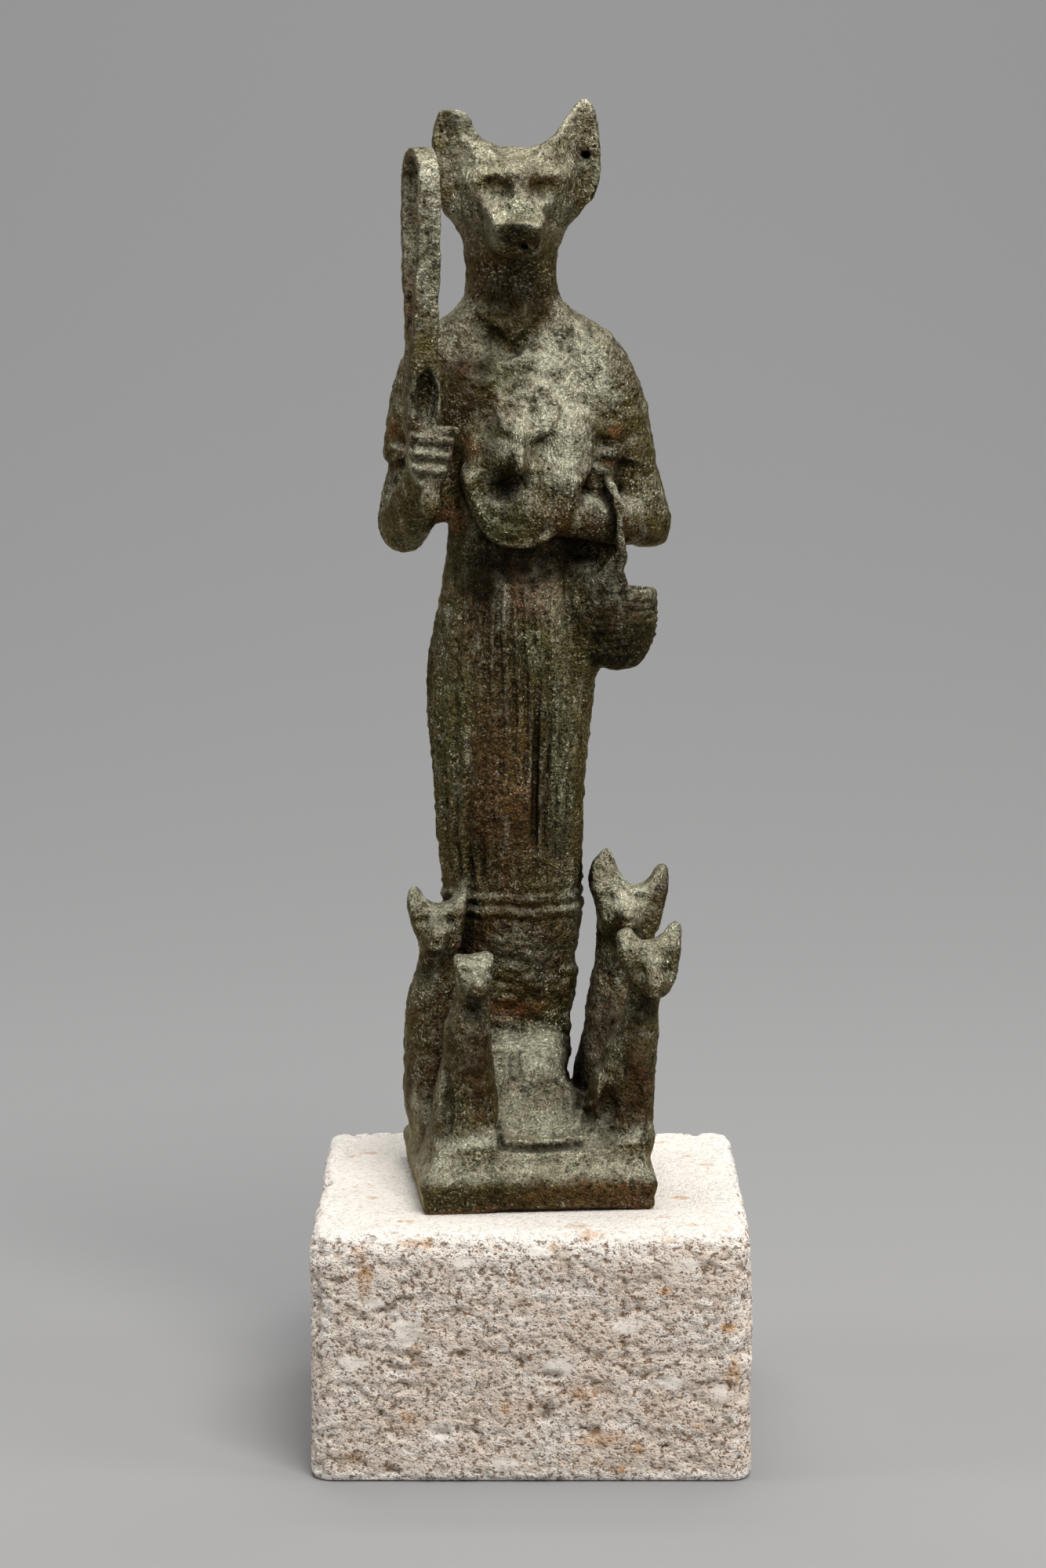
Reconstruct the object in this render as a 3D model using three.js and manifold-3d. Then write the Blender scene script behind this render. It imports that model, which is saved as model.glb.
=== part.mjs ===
// A small cast bronze of a standing cat-headed goddess with four kittens, on a tumbled travertine block.
// Millimetres, +Z up. The origin is the middle of the block's underside and the goddess looks along -Y.
// The casting is one solid: plate, footing, figure, rattle, aegis, basket and kittens.
import * as THREE from "three";
import { RoundedBoxGeometry } from "three/addons/geometries/RoundedBoxGeometry.js";
import { mergeVertices } from "three/addons/utils/BufferGeometryUtils.js";
import Module from "manifold-3d";

const wasm = await Module();
wasm.setup();

// Sides and ends, as signs of X and Y.
const left = -1;
const right = 1;
const front = -1;
const back = 1;

// The travertine block.
const blockWidth = 52;
const blockDepth = 52;
const blockHeight = 30;
const blockEdgeRadius = 2.4;

// How the casting stands on the block: a little askew and nearly centred.
const castingTurnDegrees = 6;
const castingShiftX = -0.5;
const castingShiftY = -0.5;

// The cast plate, the hollow-sided tier on it, and the footing that the goddess stands on.
const plateWidth = 28;
const plateDepth = 30;
const plateThickness = 4.6;
const plateCornerRadius = 1;
const plateEdgeRounding = 0.35;
const tierRise = 2.7;
const tierInset = 1.7;
const footingRise = 5.1;
const footingWidth = 17;
const footingFromFront = 3.3;
const footingFromBack = 2.3;

// The goddess, from her soles to the tip of the whole ear, and where her axis stands on the plate.
const goddessHeight = 120;
const goddessOffCentre = -1.4;
const goddessFromBack = 10;
const pleatCount = 22;
const pleatDepth = 0.3;

// The rattle (sistrum) in her raised hand: a strip bent over into a long loop, on a short handle.
const rattleStripWidth = 3;
const rattleStripThickness = 1.3;
const rattleLoopDepth = 9;
const rattleTurnDegrees = 4;

// The basket and its carrying band, which hangs over her forearm.
const basketWidth = 9.2;
const basketDepth = 8.2;
const basketHeight = 10.3;
const basketBandWidth = 1.8;
const basketBandThickness = 1.1;

// The kittens. Each stands in from its own side and end of the plate. The haunches, neck and brow are half
// widths, the lean is how far the head stands out sideways, and the turn and tilt are those of the whole
// kitten and of its head. The ears' tips are a share of the height, under 1 where they are worn down.
const kittens = {
  frontLeft: {
    side: left,
    end: front,
    fromSide: 5.9,
    fromEnd: 8.2,
    height: 25.4,
    haunches: 3.8,
    neck: 1.8,
    brow: 2.3,
    lean: 0.3,
    turnDegrees: 12,
    tiltDegrees: 0,
    earTips: 0.91,
  },
  frontRight: {
    side: right,
    end: front,
    fromSide: 4.3,
    fromEnd: 8.2,
    height: 26.3,
    haunches: 3.8,
    neck: 2.1,
    brow: 4.1,
    lean: 3.9,
    turnDegrees: 8,
    tiltDegrees: -5,
    earTips: 1,
  },
  backLeft: {
    side: left,
    end: back,
    fromSide: 3.9,
    fromEnd: 10,
    height: 29.5,
    haunches: 4,
    neck: 2.6,
    brow: 3.6,
    lean: -0.6,
    turnDegrees: 10,
    tiltDegrees: 0,
    earTips: 1,
  },
  backRight: {
    side: right,
    end: back,
    fromSide: 4.5,
    fromEnd: 10.2,
    height: 33,
    haunches: 3.8,
    neck: 3.2,
    brow: 4.2,
    lean: 3.3,
    turnDegrees: 6,
    tiltDegrees: 12,
    earTips: 1,
  },
};

const tierTop = plateThickness + tierRise;
const footingTop = tierTop + footingRise;

// The goddess is laid out on 120 parts of her height, and each kitten on 100 parts of its own.
const goddessParts = 120;
const kittenParts = 100;
const goddessPart = goddessHeight / goddessParts;

const bronze = new THREE.MeshStandardMaterial({ color: 0x4a4636, roughness: 0.62, metalness: 0.7 });
const travertine = new THREE.MeshStandardMaterial({ color: 0xd9d0c4, roughness: 0.95, metalness: 0 });

// A point from three numbers.
const at = (x, y, z) => new THREE.Vector3(x, y, z);

// A closed skin over rings of equally many points. Each ring runs anticlockwise seen from the last ring.
function skin(rings) {
  const count = rings[0].length;
  const points = rings.flat();
  const faces = [];
  for (let r = 0; r + 1 < rings.length; r++) {
    for (let i = 0; i < count; i++) {
      const a = r * count + i;
      const b = r * count + ((i + 1) % count);
      faces.push(a, b, b + count, a, b + count, a + count);
    }
  }
  const middle = (ring) => ring.reduce((sum, p) => sum.add(p), at(0, 0, 0)).divideScalar(count);
  const first = points.length;
  points.push(middle(rings[0]), middle(rings.at(-1)));
  const last = (rings.length - 1) * count;
  for (let i = 0; i < count; i++) {
    const next = (i + 1) % count;
    faces.push(first, next, i, first + 1, last + i, last + next);
  }
  return new THREE.BufferGeometry().setFromPoints(points).setIndex(faces);
}

// A level oval ring. `ripple` moves each point in or out by the length that it gives for a point's number.
function oval(centre, halfWidth, halfDepth, count, ripple = () => 0) {
  return Array.from({ length: count }, (_, i) => {
    const angle = (2 * Math.PI * i) / count;
    const out = ripple(i);
    return at(
      centre.x + (halfWidth + out) * Math.cos(angle),
      centre.y + (halfDepth + out) * Math.sin(angle),
      centre.z,
    );
  });
}

// A limb along a smooth curve. Each station is its point, its radius and, where it is flattened, how much.
function limb(stations, sides = 7) {
  const curve = new THREE.CatmullRomCurve3(stations.map(([point]) => point));
  const start = stations[0][0];
  const end = stations.at(-1)[0];
  const steep = Math.abs(end.z - start.z) > 0.7 * end.distanceTo(start);
  const upright = steep ? at(1, 0, 0) : at(0, 0, 1);
  const rings = stations.map(([, radius, flatness = 1], s) => {
    const along = curve.getTangent(s / (stations.length - 1));
    const wide = upright.clone().cross(along).normalize();
    const high = along.clone().cross(wide).normalize();
    return Array.from({ length: sides }, (_, i) => {
      const angle = (2 * Math.PI * i) / sides;
      return stations[s][0]
        .clone()
        .addScaledVector(wide, radius * Math.cos(angle))
        .addScaledVector(high, radius * flatness * Math.sin(angle));
    });
  });
  return skin(rings);
}

// An egg: a sphere stretched to three half axes.
function egg(centre, halfX, halfY, halfZ, around = 10, up = 6) {
  return new THREE.SphereGeometry(1, around, up)
    .rotateX(Math.PI / 2)
    .scale(halfX, halfY, halfZ)
    .translate(centre.x, centre.y, centre.z);
}

// A capsule between two points.
function capsule(from, to, radius) {
  const along = to.clone().sub(from);
  const turn = new THREE.Quaternion().setFromUnitVectors(at(0, 1, 0), along.clone().normalize());
  const middle = from.clone().add(to).multiplyScalar(0.5);
  return new THREE.CapsuleGeometry(radius, along.length(), 1, 6)
    .applyQuaternion(turn)
    .translate(middle.x, middle.y, middle.z);
}

// A three.js geometry as a manifold solid, with shared vertices merged and triangles of no area dropped.
function solid(geometry) {
  const bare = new THREE.BufferGeometry().setAttribute("position", geometry.getAttribute("position"));
  if (geometry.index) bare.setIndex(geometry.index);
  const merged = mergeVertices(bare, 1e-4);
  const corners = merged.index.array;
  const kept = [];
  for (let t = 0; t < corners.length; t += 3) {
    const [a, b, c] = corners.slice(t, t + 3);
    if (a !== b && b !== c && c !== a) kept.push(a, b, c);
  }
  const vertProperties = new Float32Array(merged.attributes.position.array);
  const triVerts = new Uint32Array(kept);
  return new wasm.Manifold(new wasm.Mesh({ numProp: 3, vertProperties, triVerts }));
}

// A manifold solid as a three.js geometry.
function geometryOf(made) {
  const mesh = made.getMesh();
  return new THREE.BufferGeometry()
    .setAttribute("position", new THREE.BufferAttribute(new Float32Array(mesh.vertProperties), 3))
    .setIndex(new THREE.BufferAttribute(new Uint32Array(mesh.triVerts), 1));
}

// Joins a list of solids into one.
const fuse = (solids) => solids.reduce((sum, next) => sum.add(next));

// A level rounded rectangle, the plate's outline less an inset.
function plateRing(inset, z) {
  const halfWidth = plateWidth / 2 - inset;
  const halfDepth = plateDepth / 2 - inset;
  const radius = plateCornerRadius;
  const pointsInCorner = 3;
  const corners = [
    [right, front, -90],
    [right, back, 0],
    [left, back, 90],
    [left, front, 180],
  ];
  return corners.flatMap(([side, end, startDegrees]) =>
    Array.from({ length: pointsInCorner }, (_, i) => {
      const angle = THREE.MathUtils.degToRad(startDegrees + (90 * i) / (pointsInCorner - 1));
      return at(
        side * (halfWidth - radius) + radius * Math.cos(angle),
        end * (halfDepth - radius) + radius * Math.sin(angle),
        z,
      );
    }),
  );
}

// The plate with its tier, whose sides are hollow like a cavetto.
function plateSolid() {
  // Each row is the share of the tier's inset and of its rise.
  const hollow = [
    [0.62, 0.3],
    [0.92, 0.7],
  ].map(([inset, rise]) => plateRing(tierInset * inset, plateThickness + tierRise * rise));
  return solid(
    skin([
      plateRing(0, 0),
      plateRing(0, plateThickness - plateEdgeRounding),
      plateRing(plateEdgeRounding, plateThickness),
      ...hollow,
      plateRing(tierInset, tierTop - plateEdgeRounding),
      plateRing(tierInset + plateEdgeRounding, tierTop),
    ]),
  );
}

// The footing: a hump under the goddess that runs down to the front as a smooth ramp.
function footingSolid() {
  const frontEnd = -plateDepth / 2 + footingFromFront;
  const backEnd = plateDepth / 2 - footingFromBack;
  const shoulderRise = 0.55;
  const shoulderWidth = 0.72;
  // Each row is the share of the length from the front, of the rise and of the width.
  const profile = [
    [0, 0.02, 0.55],
    [0.1, 0.12, 0.66],
    [0.2, 0.36, 0.76],
    [0.3, 0.72, 0.86],
    [0.38, 0.97, 0.94],
    [0.5, 1, 1],
    [0.97, 1, 0.96],
    [1, 0.6, 0.9],
  ];
  const rings = profile.map(([along, rise, width]) => {
    const half = (footingWidth / 2) * width;
    const y = THREE.MathUtils.lerp(frontEnd, backEnd, along);
    const low = plateThickness / 2;
    const top = tierTop + footingRise * rise;
    const shoulder = THREE.MathUtils.lerp(tierTop, top, shoulderRise);
    return [
      at(goddessOffCentre - half, y, low),
      at(goddessOffCentre - half, y, shoulder),
      at(goddessOffCentre - half * shoulderWidth, y, top),
      at(goddessOffCentre + half * shoulderWidth, y, top),
      at(goddessOffCentre + half, y, shoulder),
      at(goddessOffCentre + half, y, low),
    ];
  });
  return solid(skin(rings));
}

// A column of level ovals. Each row is height, middle X, half width, middle Y, half depth and pleats' share.
function column(sections, pointsRound) {
  const fold = pleatDepth / goddessPart;
  return solid(
    skin(
      sections.map(([z, x, halfWidth, y, halfDepth, pleats = 0]) =>
        oval(at(x, y, z), halfWidth, halfDepth, pointsRound, (i) => (i % 2 ? -fold * pleats : 0)),
      ),
    ),
  );
}

// The long pleated dress down to its ankles, with the raised bands of its hem, in parts of her height.
function skirtSolid() {
  const sections = [
    [-2, 0, 6.7, 1, 4.5],
    [4, 0, 7, 0.7, 4.9],
    [11, 0, 8, 0.2, 5.5, 0.3],
    [19.4, 0, 8.75, 0, 6.2, 0.3],
    [20.4, 0, 9, 0, 6.4],
    [21.2, 0, 8.5, 0, 5.9],
    [22, 0, 9, 0, 6.3],
    [23.1, -0.1, 8.55, 0, 5.9, 0.6],
    [31, -0.25, 8.85, 0, 6.2, 1],
    [38, -0.25, 9.2, 0, 6.6, 1],
    [44, -0.2, 9.85, 0.2, 7.1, 1],
    [50, 0, 10.15, 0.4, 7.4, 1],
    [56.5, 0, 9.45, 0.4, 7, 1],
    [62, 0, 8.35, 0.2, 6.2, 0.8],
    [67, 0, 7.5, 0, 5.5, 0.6],
  ];
  return column(sections, 2 * pleatCount);
}

// The waist, chest, shoulders and neck.
function torsoSolid() {
  const sections = [
    [62, 0, 8.2, 0.2, 6],
    [66, 0, 7.65, 0, 5.6],
    [70, 0.2, 7.6, 0, 5.6],
    [75, 0.3, 8.3, 0, 5.9],
    [81, 0.4, 9.4, 0, 6.5],
    [88, 0.3, 10.6, 0.3, 6.4],
    [92, 0.2, 11, 0.5, 5.6],
    [94, 0.2, 9.6, 0.5, 5.2],
    [95.6, 0.2, 6.8, 0.3, 5],
    [97.2, 0, 5.3, 0.2, 4.9],
    [101, 0, 5.15, 0, 5],
    [106, 0, 4.8, -0.2, 5],
  ];
  return column(sections, 16);
}

// Her feet, side by side under the hem.
function feetSolids() {
  return [left, right].map((side) =>
    solid(
      limb([
        [at(side * 3.2, 1, 1.8), 3.2, 1.1],
        [at(side * 3.2, -2.4, 1.2), 3.1, 1],
        [at(side * 3.3, -5.2, 0.1), 2.8, 0.72],
        [at(side * 3.3, -7.2, -0.6), 2.2, 0.55],
      ]),
    ),
  );
}

// The arm bent across the waist and the one raised with the rattle, each in a short sleeve. Webs of metal
// behind them close the hollows between the bent arm, the basket and her side.
function armSolids() {
  const bentSleeve = [
    [at(5.5, 0.5, 91.6), 3],
    [at(9.4, 0.6, 88.6), 4],
    [at(11.6, 0.6, 84), 4.3],
    [at(12.9, 0.4, 78.4), 4.2],
  ];
  const bentUpperArm = [
    [at(12.2, 0.4, 81), 3.4],
    [at(14.2, 0.2, 75), 3.6],
    [at(15.9, -0.3, 70.2), 3.6],
    [at(16.4, -0.5, 68.2), 2.7],
  ];
  const bentForearm = [
    [at(17, -0.7, 69.3), 3],
    [at(12, -3.6, 69.9), 3],
    [at(7.5, -6.2, 70.7), 2.7],
    [at(2, -8, 71), 2.5],
  ];
  const raisedSleeve = [
    [at(-5.2, 0.5, 91.2), 3],
    [at(-9.2, 0.5, 88.4), 3.8],
    [at(-10.9, 0.4, 83), 4],
    [at(-11.5, 0, 78), 4],
  ];
  const raisedUpperArm = [
    [at(-11, 0, 80), 3.1],
    [at(-12.3, -0.3, 74), 3.3],
    [at(-13.1, -0.9, 70), 3.2],
    [at(-13.3, -1.3, 67.8), 2.3],
  ];
  const raisedForearm = [
    [at(-13.2, -0.4, 69.6), 3],
    [at(-12.5, -5, 71.6), 3],
    [at(-11.4, -10, 75.8), 2.5],
    [at(-10.9, -12.4, 77.6), 2.3],
  ];
  const limbs = [bentSleeve, bentUpperArm, bentForearm, raisedSleeve, raisedUpperArm, raisedForearm];
  const webs = [egg(at(9.4, 1.6, 77), 4.4, 2.6, 8, 7, 4), egg(at(10, 1, 65.5), 4, 2, 8, 7, 4)];
  return [...webs, ...limbs.map((stations) => limb(stations))].map(solid);
}

// The fist round the rattle's handle: a palm with four fingers across its front.
function fistSolids() {
  const fingerPitch = 1.55;
  const fingerRadius = 0.86;
  const topKnuckle = at(-12.9, -14.3, 80.5);
  const topFingertip = at(-8.7, -14.6, 80.6);
  const narrowing = 0.22;
  const fingers = [0, 1, 2, 3].map((finger) => {
    const down = fingerPitch * finger;
    const knuckle = topKnuckle.clone().sub(at(0, 0, down));
    const tip = topFingertip.clone().sub(at(narrowing * down, 0, down));
    return capsule(knuckle, tip, fingerRadius);
  });
  const palm = egg(at(-10.8, -12.9, 78.3), 2.8, 2.5, 3.4, 8, 5);
  return [palm, ...fingers].map(solid);
}

// The rattle, laid out on its own axis: X across the strip, Y from front to back, Z up.
function rattleSolid() {
  const half = rattleLoopDepth / goddessPart / 2;
  const strip = rattleStripWidth / goddessPart;
  const thickness = rattleStripThickness / goddessPart;
  const top = 114;
  const straightLength = 9.5;
  const gatheringLength = 10.6;
  const footHalf = 2.2;
  const archMiddle = top - half;
  const shoulder = archMiddle - straightLength;
  const foot = shoulder - gatheringLength;
  const bend = foot + 0.57 * gatheringLength;
  // The bent strip's outer and inner edges, the inner one taken in by the strip's thickness.
  const trace = (path, inset) => {
    path.moveTo(footHalf - inset, foot + inset);
    path.quadraticCurveTo(half - inset, bend, half - inset, shoulder);
    path.lineTo(half - inset, archMiddle);
    path.absarc(0, archMiddle, half - inset, 0, Math.PI);
    path.lineTo(-half + inset, shoulder);
    path.quadraticCurveTo(-half + inset, bend, -footHalf + inset, foot + inset);
    path.closePath();
    return path;
  };
  const outline = trace(new THREE.Shape(), 0);
  outline.holes.push(trace(new THREE.Path(), thickness));
  const loop = new THREE.ExtrudeGeometry(outline, { depth: strip, bevelEnabled: false, curveSegments: 5 })
    .translate(0, 0, -strip / 2)
    .rotateX(Math.PI / 2)
    .rotateZ(Math.PI / 2);
  // The block at the loop's foot, with an oval recess in front.
  const blockSections = [
    [80.6, 0, 1.5, 0, 1.6],
    [82, 0, 1.95, 0, 2.3],
    [85, 0, 1.95, 0, 2.5],
    [89, 0, 1.7, 0, 2.3],
    [91.5, 0, 1.3, 0, 1.9],
  ];
  const block = column(blockSections, 10);
  const recess = egg(at(0.15, -2.7, 85), 1.05, 1.1, 2.2, 8, 5);
  // The handle's turned profile. Each row is radius and height.
  const handleProfile = [
    [0, 72],
    [0.7, 72.3],
    [1.15, 73.8],
    [1, 75.4],
    [1.2, 82],
    [0, 82],
  ].map(([radius, z]) => new THREE.Vector2(radius, z));
  const handle = new THREE.LatheGeometry(handleProfile, 8).rotateX(Math.PI / 2);
  const grip = at(-11.6, -13, 0);
  return fuse([block, solid(loop), solid(handle)])
    .subtract(solid(recess))
    .rotate([0, 0, rattleTurnDegrees])
    .translate(grip.toArray());
}

// The aegis held at her chest: a broad collar under a lioness's head with a sun disc above it.
function aegisSolids() {
  const collarMiddle = at(0.6, -9.1, 75.6);
  const backing = 3.2;
  const top = 1.5;
  const topStep = 0.3;
  // Each row is the collar's radius across, its radius down, and how far its face stands forward.
  const collar = [
    [6.9, 8.8, 0.7],
    [5.5, 7.2, 1.2],
    [4, 5.4, 1.7],
  ].map(([across, down, forward], i) => {
    const outline = new THREE.Shape();
    outline.moveTo(-across, top - topStep * i);
    outline.absellipse(0, 0, across, down, Math.PI, 2 * Math.PI, false);
    outline.lineTo(across, top - topStep * i);
    outline.closePath();
    const depth = backing + forward;
    return new THREE.ExtrudeGeometry(outline, { depth, bevelEnabled: false, curveSegments: 7 })
      .rotateX(Math.PI / 2)
      .translate(collarMiddle.x, collarMiddle.y + backing, collarMiddle.z);
  });
  const discRadius = 4.1;
  const discThickness = 3.4;
  const disc = new THREE.CylinderGeometry(discRadius, discRadius, discThickness, 14);
  disc.translate(1.5, -6.6, 85.6);
  const lionessHead = [
    egg(at(0.3, -8.7, 79), 4.4, 3.1, 4, 9, 6),
    egg(at(0.2, -11.2, 77), 2.2, 2, 1.9, 8, 5),
    egg(at(-3.4, -8.4, 81.8), 1.2, 1.2, 1.4, 6, 4),
    egg(at(4, -8.4, 81.8), 1.2, 1.2, 1.4, 6, 4),
    capsule(at(0.15, -11, 80.8), at(0.15, -13, 77), 0.7),
  ];
  return [...collar, disc, ...lionessHead].map(solid);
}

// The basket under her forearm: a round-bottomed bag with rows of weave and a sunk top.
function basketSolid() {
  const rows = 6;
  const rimMiddle = at(13.1, -3, 61.3);
  const height = basketHeight / goddessPart;
  const halfWidth = basketWidth / goddessPart / 2;
  const rimWidth = 0.9;
  const sinking = 1.3;
  const weave = 0.16;
  // The side's swelling, from 0 at the bottom's middle to 1 at the rim.
  const swelling = (down) => Math.pow(1 - Math.pow(down, 3.2), 1 / 2.2);
  const profile = [new THREE.Vector2(0, -height)];
  for (let i = 1; i <= 2 * rows; i++) {
    const down = 1 - i / (2 * rows);
    const ridge = i % 2 && i > 1 ? weave : 0;
    profile.push(new THREE.Vector2(halfWidth * swelling(down) + ridge, -height * down));
  }
  profile.push(new THREE.Vector2(halfWidth - rimWidth, 0));
  profile.push(new THREE.Vector2(halfWidth - 1.4 * rimWidth, -sinking));
  profile.push(new THREE.Vector2(0, -sinking));
  return solid(
    new THREE.LatheGeometry(profile, 12)
      .rotateX(Math.PI / 2)
      .scale(1, basketDepth / basketWidth, 1)
      .translate(rimMiddle.x, rimMiddle.y, rimMiddle.z),
  );
}

// The band that carries the basket: up its front, over the forearm and down behind.
function basketBandSolid() {
  const route = new THREE.CatmullRomCurve3([
    at(12.9, -6.2, 60.6),
    at(12.1, -7, 66.5),
    at(12, -7.4, 70.5),
    at(11.4, -6.4, 73.6),
    at(10.8, -3.8, 74.6),
    at(11.4, -1.2, 73.4),
    at(12.3, 0.1, 68),
    at(13.2, 0.2, 60.6),
  ]);
  const halfWidth = basketBandWidth / goddessPart / 2;
  const halfThickness = basketBandThickness / goddessPart / 2;
  const section = new THREE.Shape();
  section.absellipse(0, 0, halfWidth, halfThickness, 0, 2 * Math.PI);
  return solid(new THREE.ExtrudeGeometry(section, { steps: 14, curveSegments: 3, extrudePath: route }));
}

// The cat's head on the goddess's neck: skull, snout, brows, eyes and the nose's edge.
function headSolids() {
  const middle = 0.4;
  // Each row is how far forward the section stands, its middle X, half width, middle height and half height.
  const snoutSections = [
    [1, 0, 6.9, 107.2, 5.9],
    [4.6, 0, 6.2, 106.3, 5.2],
    [7.2, -0.1, 4.9, 105, 4.1],
    [9.4, -0.2, 3.8, 103.8, 3],
    [11.4, -0.2, 3.3, 103.2, 2.3],
    [12.2, -0.2, 2.7, 103.1, 1.8],
    [12.5, -0.2, 1.4, 103, 0.9],
  ];
  const snout = column(snoutSections, 10).rotate([90, 0, 0]);
  const skull = egg(at(0, -0.2, 108.6), 6.8, 7, 5.7, 11, 7);
  const noseEdge = egg(at(-0.2, -11.4, 105.1), 1.9, 1.1, 0.6, 6, 4);
  const browsAndEyes = [left, right].flatMap((side) => [
    capsule(at(side * 4.7, -4.9, 109.7), at(side * 1.8, -6.6, 110.4), 0.8),
    egg(at(side * 2.8, -7, 108.3), 1.2, 0.7, 0.5, 6, 4),
  ]);
  const ears = [earSolid(false), earSolid(true).mirror([1, 0, 0])];
  return [snout, ...[skull, noseEdge, ...browsAndEyes].map(solid), ...ears].map((form) =>
    form.translate([middle, 0, 0]),
  );
}

// One large upright ear on the +X side, hollow in front. The broken one ends at a level cut.
function earSolid(broken) {
  const outline = new THREE.Shape(
    [
      [1.6, 112],
      [3.9, 114.4],
      [5.8, 117.1],
      [7.6, 119.6],
      [8.5, 120],
      [9.5, 118.7],
      [10, 115.2],
      [10, 112.6],
      [9.5, 109.6],
      [8.7, 107.7],
      [6.6, 106.3],
      [4, 106],
    ].map(([x, z]) => new THREE.Vector2(x, z)),
  );
  const thickness = 2.6;
  const bevel = 0.45;
  const middle = at(7, 0, 112.6);
  const shell = new THREE.ExtrudeGeometry(outline, {
    depth: thickness - 2 * bevel,
    bevelThickness: bevel,
    bevelSize: bevel,
    bevelOffset: -bevel,
    bevelSegments: 1,
  })
    .rotateX(Math.PI / 2)
    .translate(0, thickness / 2, 0);
  const hollow = egg(at(7.4, -thickness / 2 - 0.2, 113.4), 2.2, 1.5, 5, 8, 6);
  const breakHeight = 118.4;
  const cutterSize = 20;
  const aboveBreak = new THREE.BoxGeometry(cutterSize, cutterSize, cutterSize).translate(
    middle.x,
    0,
    breakHeight + cutterSize / 2,
  );
  const cuts = broken ? [hollow, aboveBreak] : [hollow];
  const facingOutDegrees = 14;
  const leaningInDegrees = broken ? 4 : 0;
  return solid(shell)
    .subtract(fuse(cuts.map(solid)))
    .translate([-middle.x, 0, -middle.z])
    .rotate([0, -leaningInDegrees, facingOutDegrees])
    .translate([middle.x, -0.6, middle.z]);
}

// The whole goddess, brought from her layout to her own size and set on the footing.
function goddessSolid() {
  const made = fuse([
    skirtSolid(),
    torsoSolid(),
    ...feetSolids(),
    ...armSolids(),
    ...fistSolids(),
    rattleSolid(),
    ...aegisSolids(),
    basketSolid(),
    basketBandSolid(),
    ...headSolids(),
  ]);
  return made
    .scale([goddessPart, goddessPart, goddessPart])
    .translate([goddessOffCentre, plateDepth / 2 - goddessFromBack, footingTop]);
}

// A level ring round a kitten's body, with a groove between its forelegs in front.
function kittenRing(middle, halfWidth, halfDepth, groove) {
  const ring = oval(middle, halfWidth, halfDepth, 12);
  ring[(3 * ring.length) / 4].y += groove * halfDepth;
  return ring;
}

// A kitten's head, laid out round the level of its eyes. It narrows from the brow down to the chin, which
// stands forward, and its ears stand up at its sides.
function kittenHead(brow, earTips) {
  // Each row is height, the width's share of the brow, middle Y and half depth.
  const skull = [
    [-13.5, 0.26, -13, 4.4],
    [-10.5, 0.44, -12, 7],
    [-5, 0.62, -9, 9.6],
    [2, 0.78, -6, 9.6],
    [8, 0.82, -4, 8],
    [12, 0.55, -3, 5],
  ].map(([z, share, y, halfDepth]) => oval(at(0, y, z), share * brow, halfDepth, 9));
  // Each row is the share of the ear's length, how far out it stands and its half width as shares of the
  // brow, and its half depth.
  const earRoot = 1;
  const earMiddleY = -3;
  const earSections = [
    [0, 0.55, 0.34, 4.4],
    [0.42, 0.7, 0.32, 3.2],
    [1, 0.84, 0.08, 0.9],
  ];
  const ears = [left, right].map((side) =>
    skin(
      earSections.map(([along, out, share, halfDepth]) => {
        const z = THREE.MathUtils.lerp(earRoot, earTips, along);
        return oval(at(side * out * brow, earMiddleY, z), share * brow, halfDepth, 6);
      }),
    ),
  );
  return fuse([skin(skull), ...ears].map(solid));
}

// A sitting kitten that looks along -Y, laid out on its parts from the tier up.
function kittenSolid(kitten) {
  const part = kitten.height / kittenParts;
  const haunchHalf = kitten.haunches / part;
  const neckHalf = kitten.neck / part;
  const eyeLevel = 80;
  const leanPower = 0.9;
  const leanAt = (z) => (kitten.lean / part) * Math.pow(Math.max(z, 0) / eyeLevel, leanPower);
  // Each row is height, the width's share from neck to haunches, middle Y, half depth and the groove's share.
  const body = [
    [-8, 1, 0, 19, 0],
    [2, 1, -1, 19, 0.3],
    [20, 0.94, -1, 17, 0.3],
    [36, 0.76, -2, 14.5, 0.25],
    [50, 0.5, -4, 11.5, 0.15],
    [62, 0.15, -4, 9, 0],
    [84, 0, -1, 7, 0],
  ].map(([z, share, y, halfDepth, groove]) => {
    const halfWidth = THREE.MathUtils.lerp(neckHalf, haunchHalf, share);
    return kittenRing(at(leanAt(z), y, z), halfWidth, halfDepth, groove);
  });
  const head = kittenHead(kitten.brow / part, kittenParts * kitten.earTips - eyeLevel)
    .rotate([0, kitten.tiltDegrees, 0])
    .translate([leanAt(eyeLevel), 0, eyeLevel]);
  const pawsAndHaunches = [left, right].flatMap((side) => [
    egg(at(side * 0.4 * haunchHalf, -17, 0.5), 0.34 * haunchHalf, 7, 4.4, 6, 4),
    egg(at(side * 0.6 * haunchHalf, 4, 8), 0.46 * haunchHalf, 14, 13, 6, 4),
  ]);
  const tail = limb(
    [
      [at(0, 16, 3), 2.6],
      [at(0.8 * haunchHalf, 13, 3), 2.8],
      [at(1.05 * haunchHalf, 0, 3), 2.8],
      [at(0.9 * haunchHalf, -12, 2.6), 2.2],
    ],
    5,
  );
  return fuse([head, ...[skin(body), ...pawsAndHaunches, tail].map(solid)])
    .rotate([0, 0, kitten.turnDegrees])
    .scale([part, part, part])
    .translate([
      kitten.side * (plateWidth / 2 - kitten.fromSide),
      kitten.end * (plateDepth / 2 - kitten.fromEnd),
      tierTop,
    ]);
}

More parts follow.
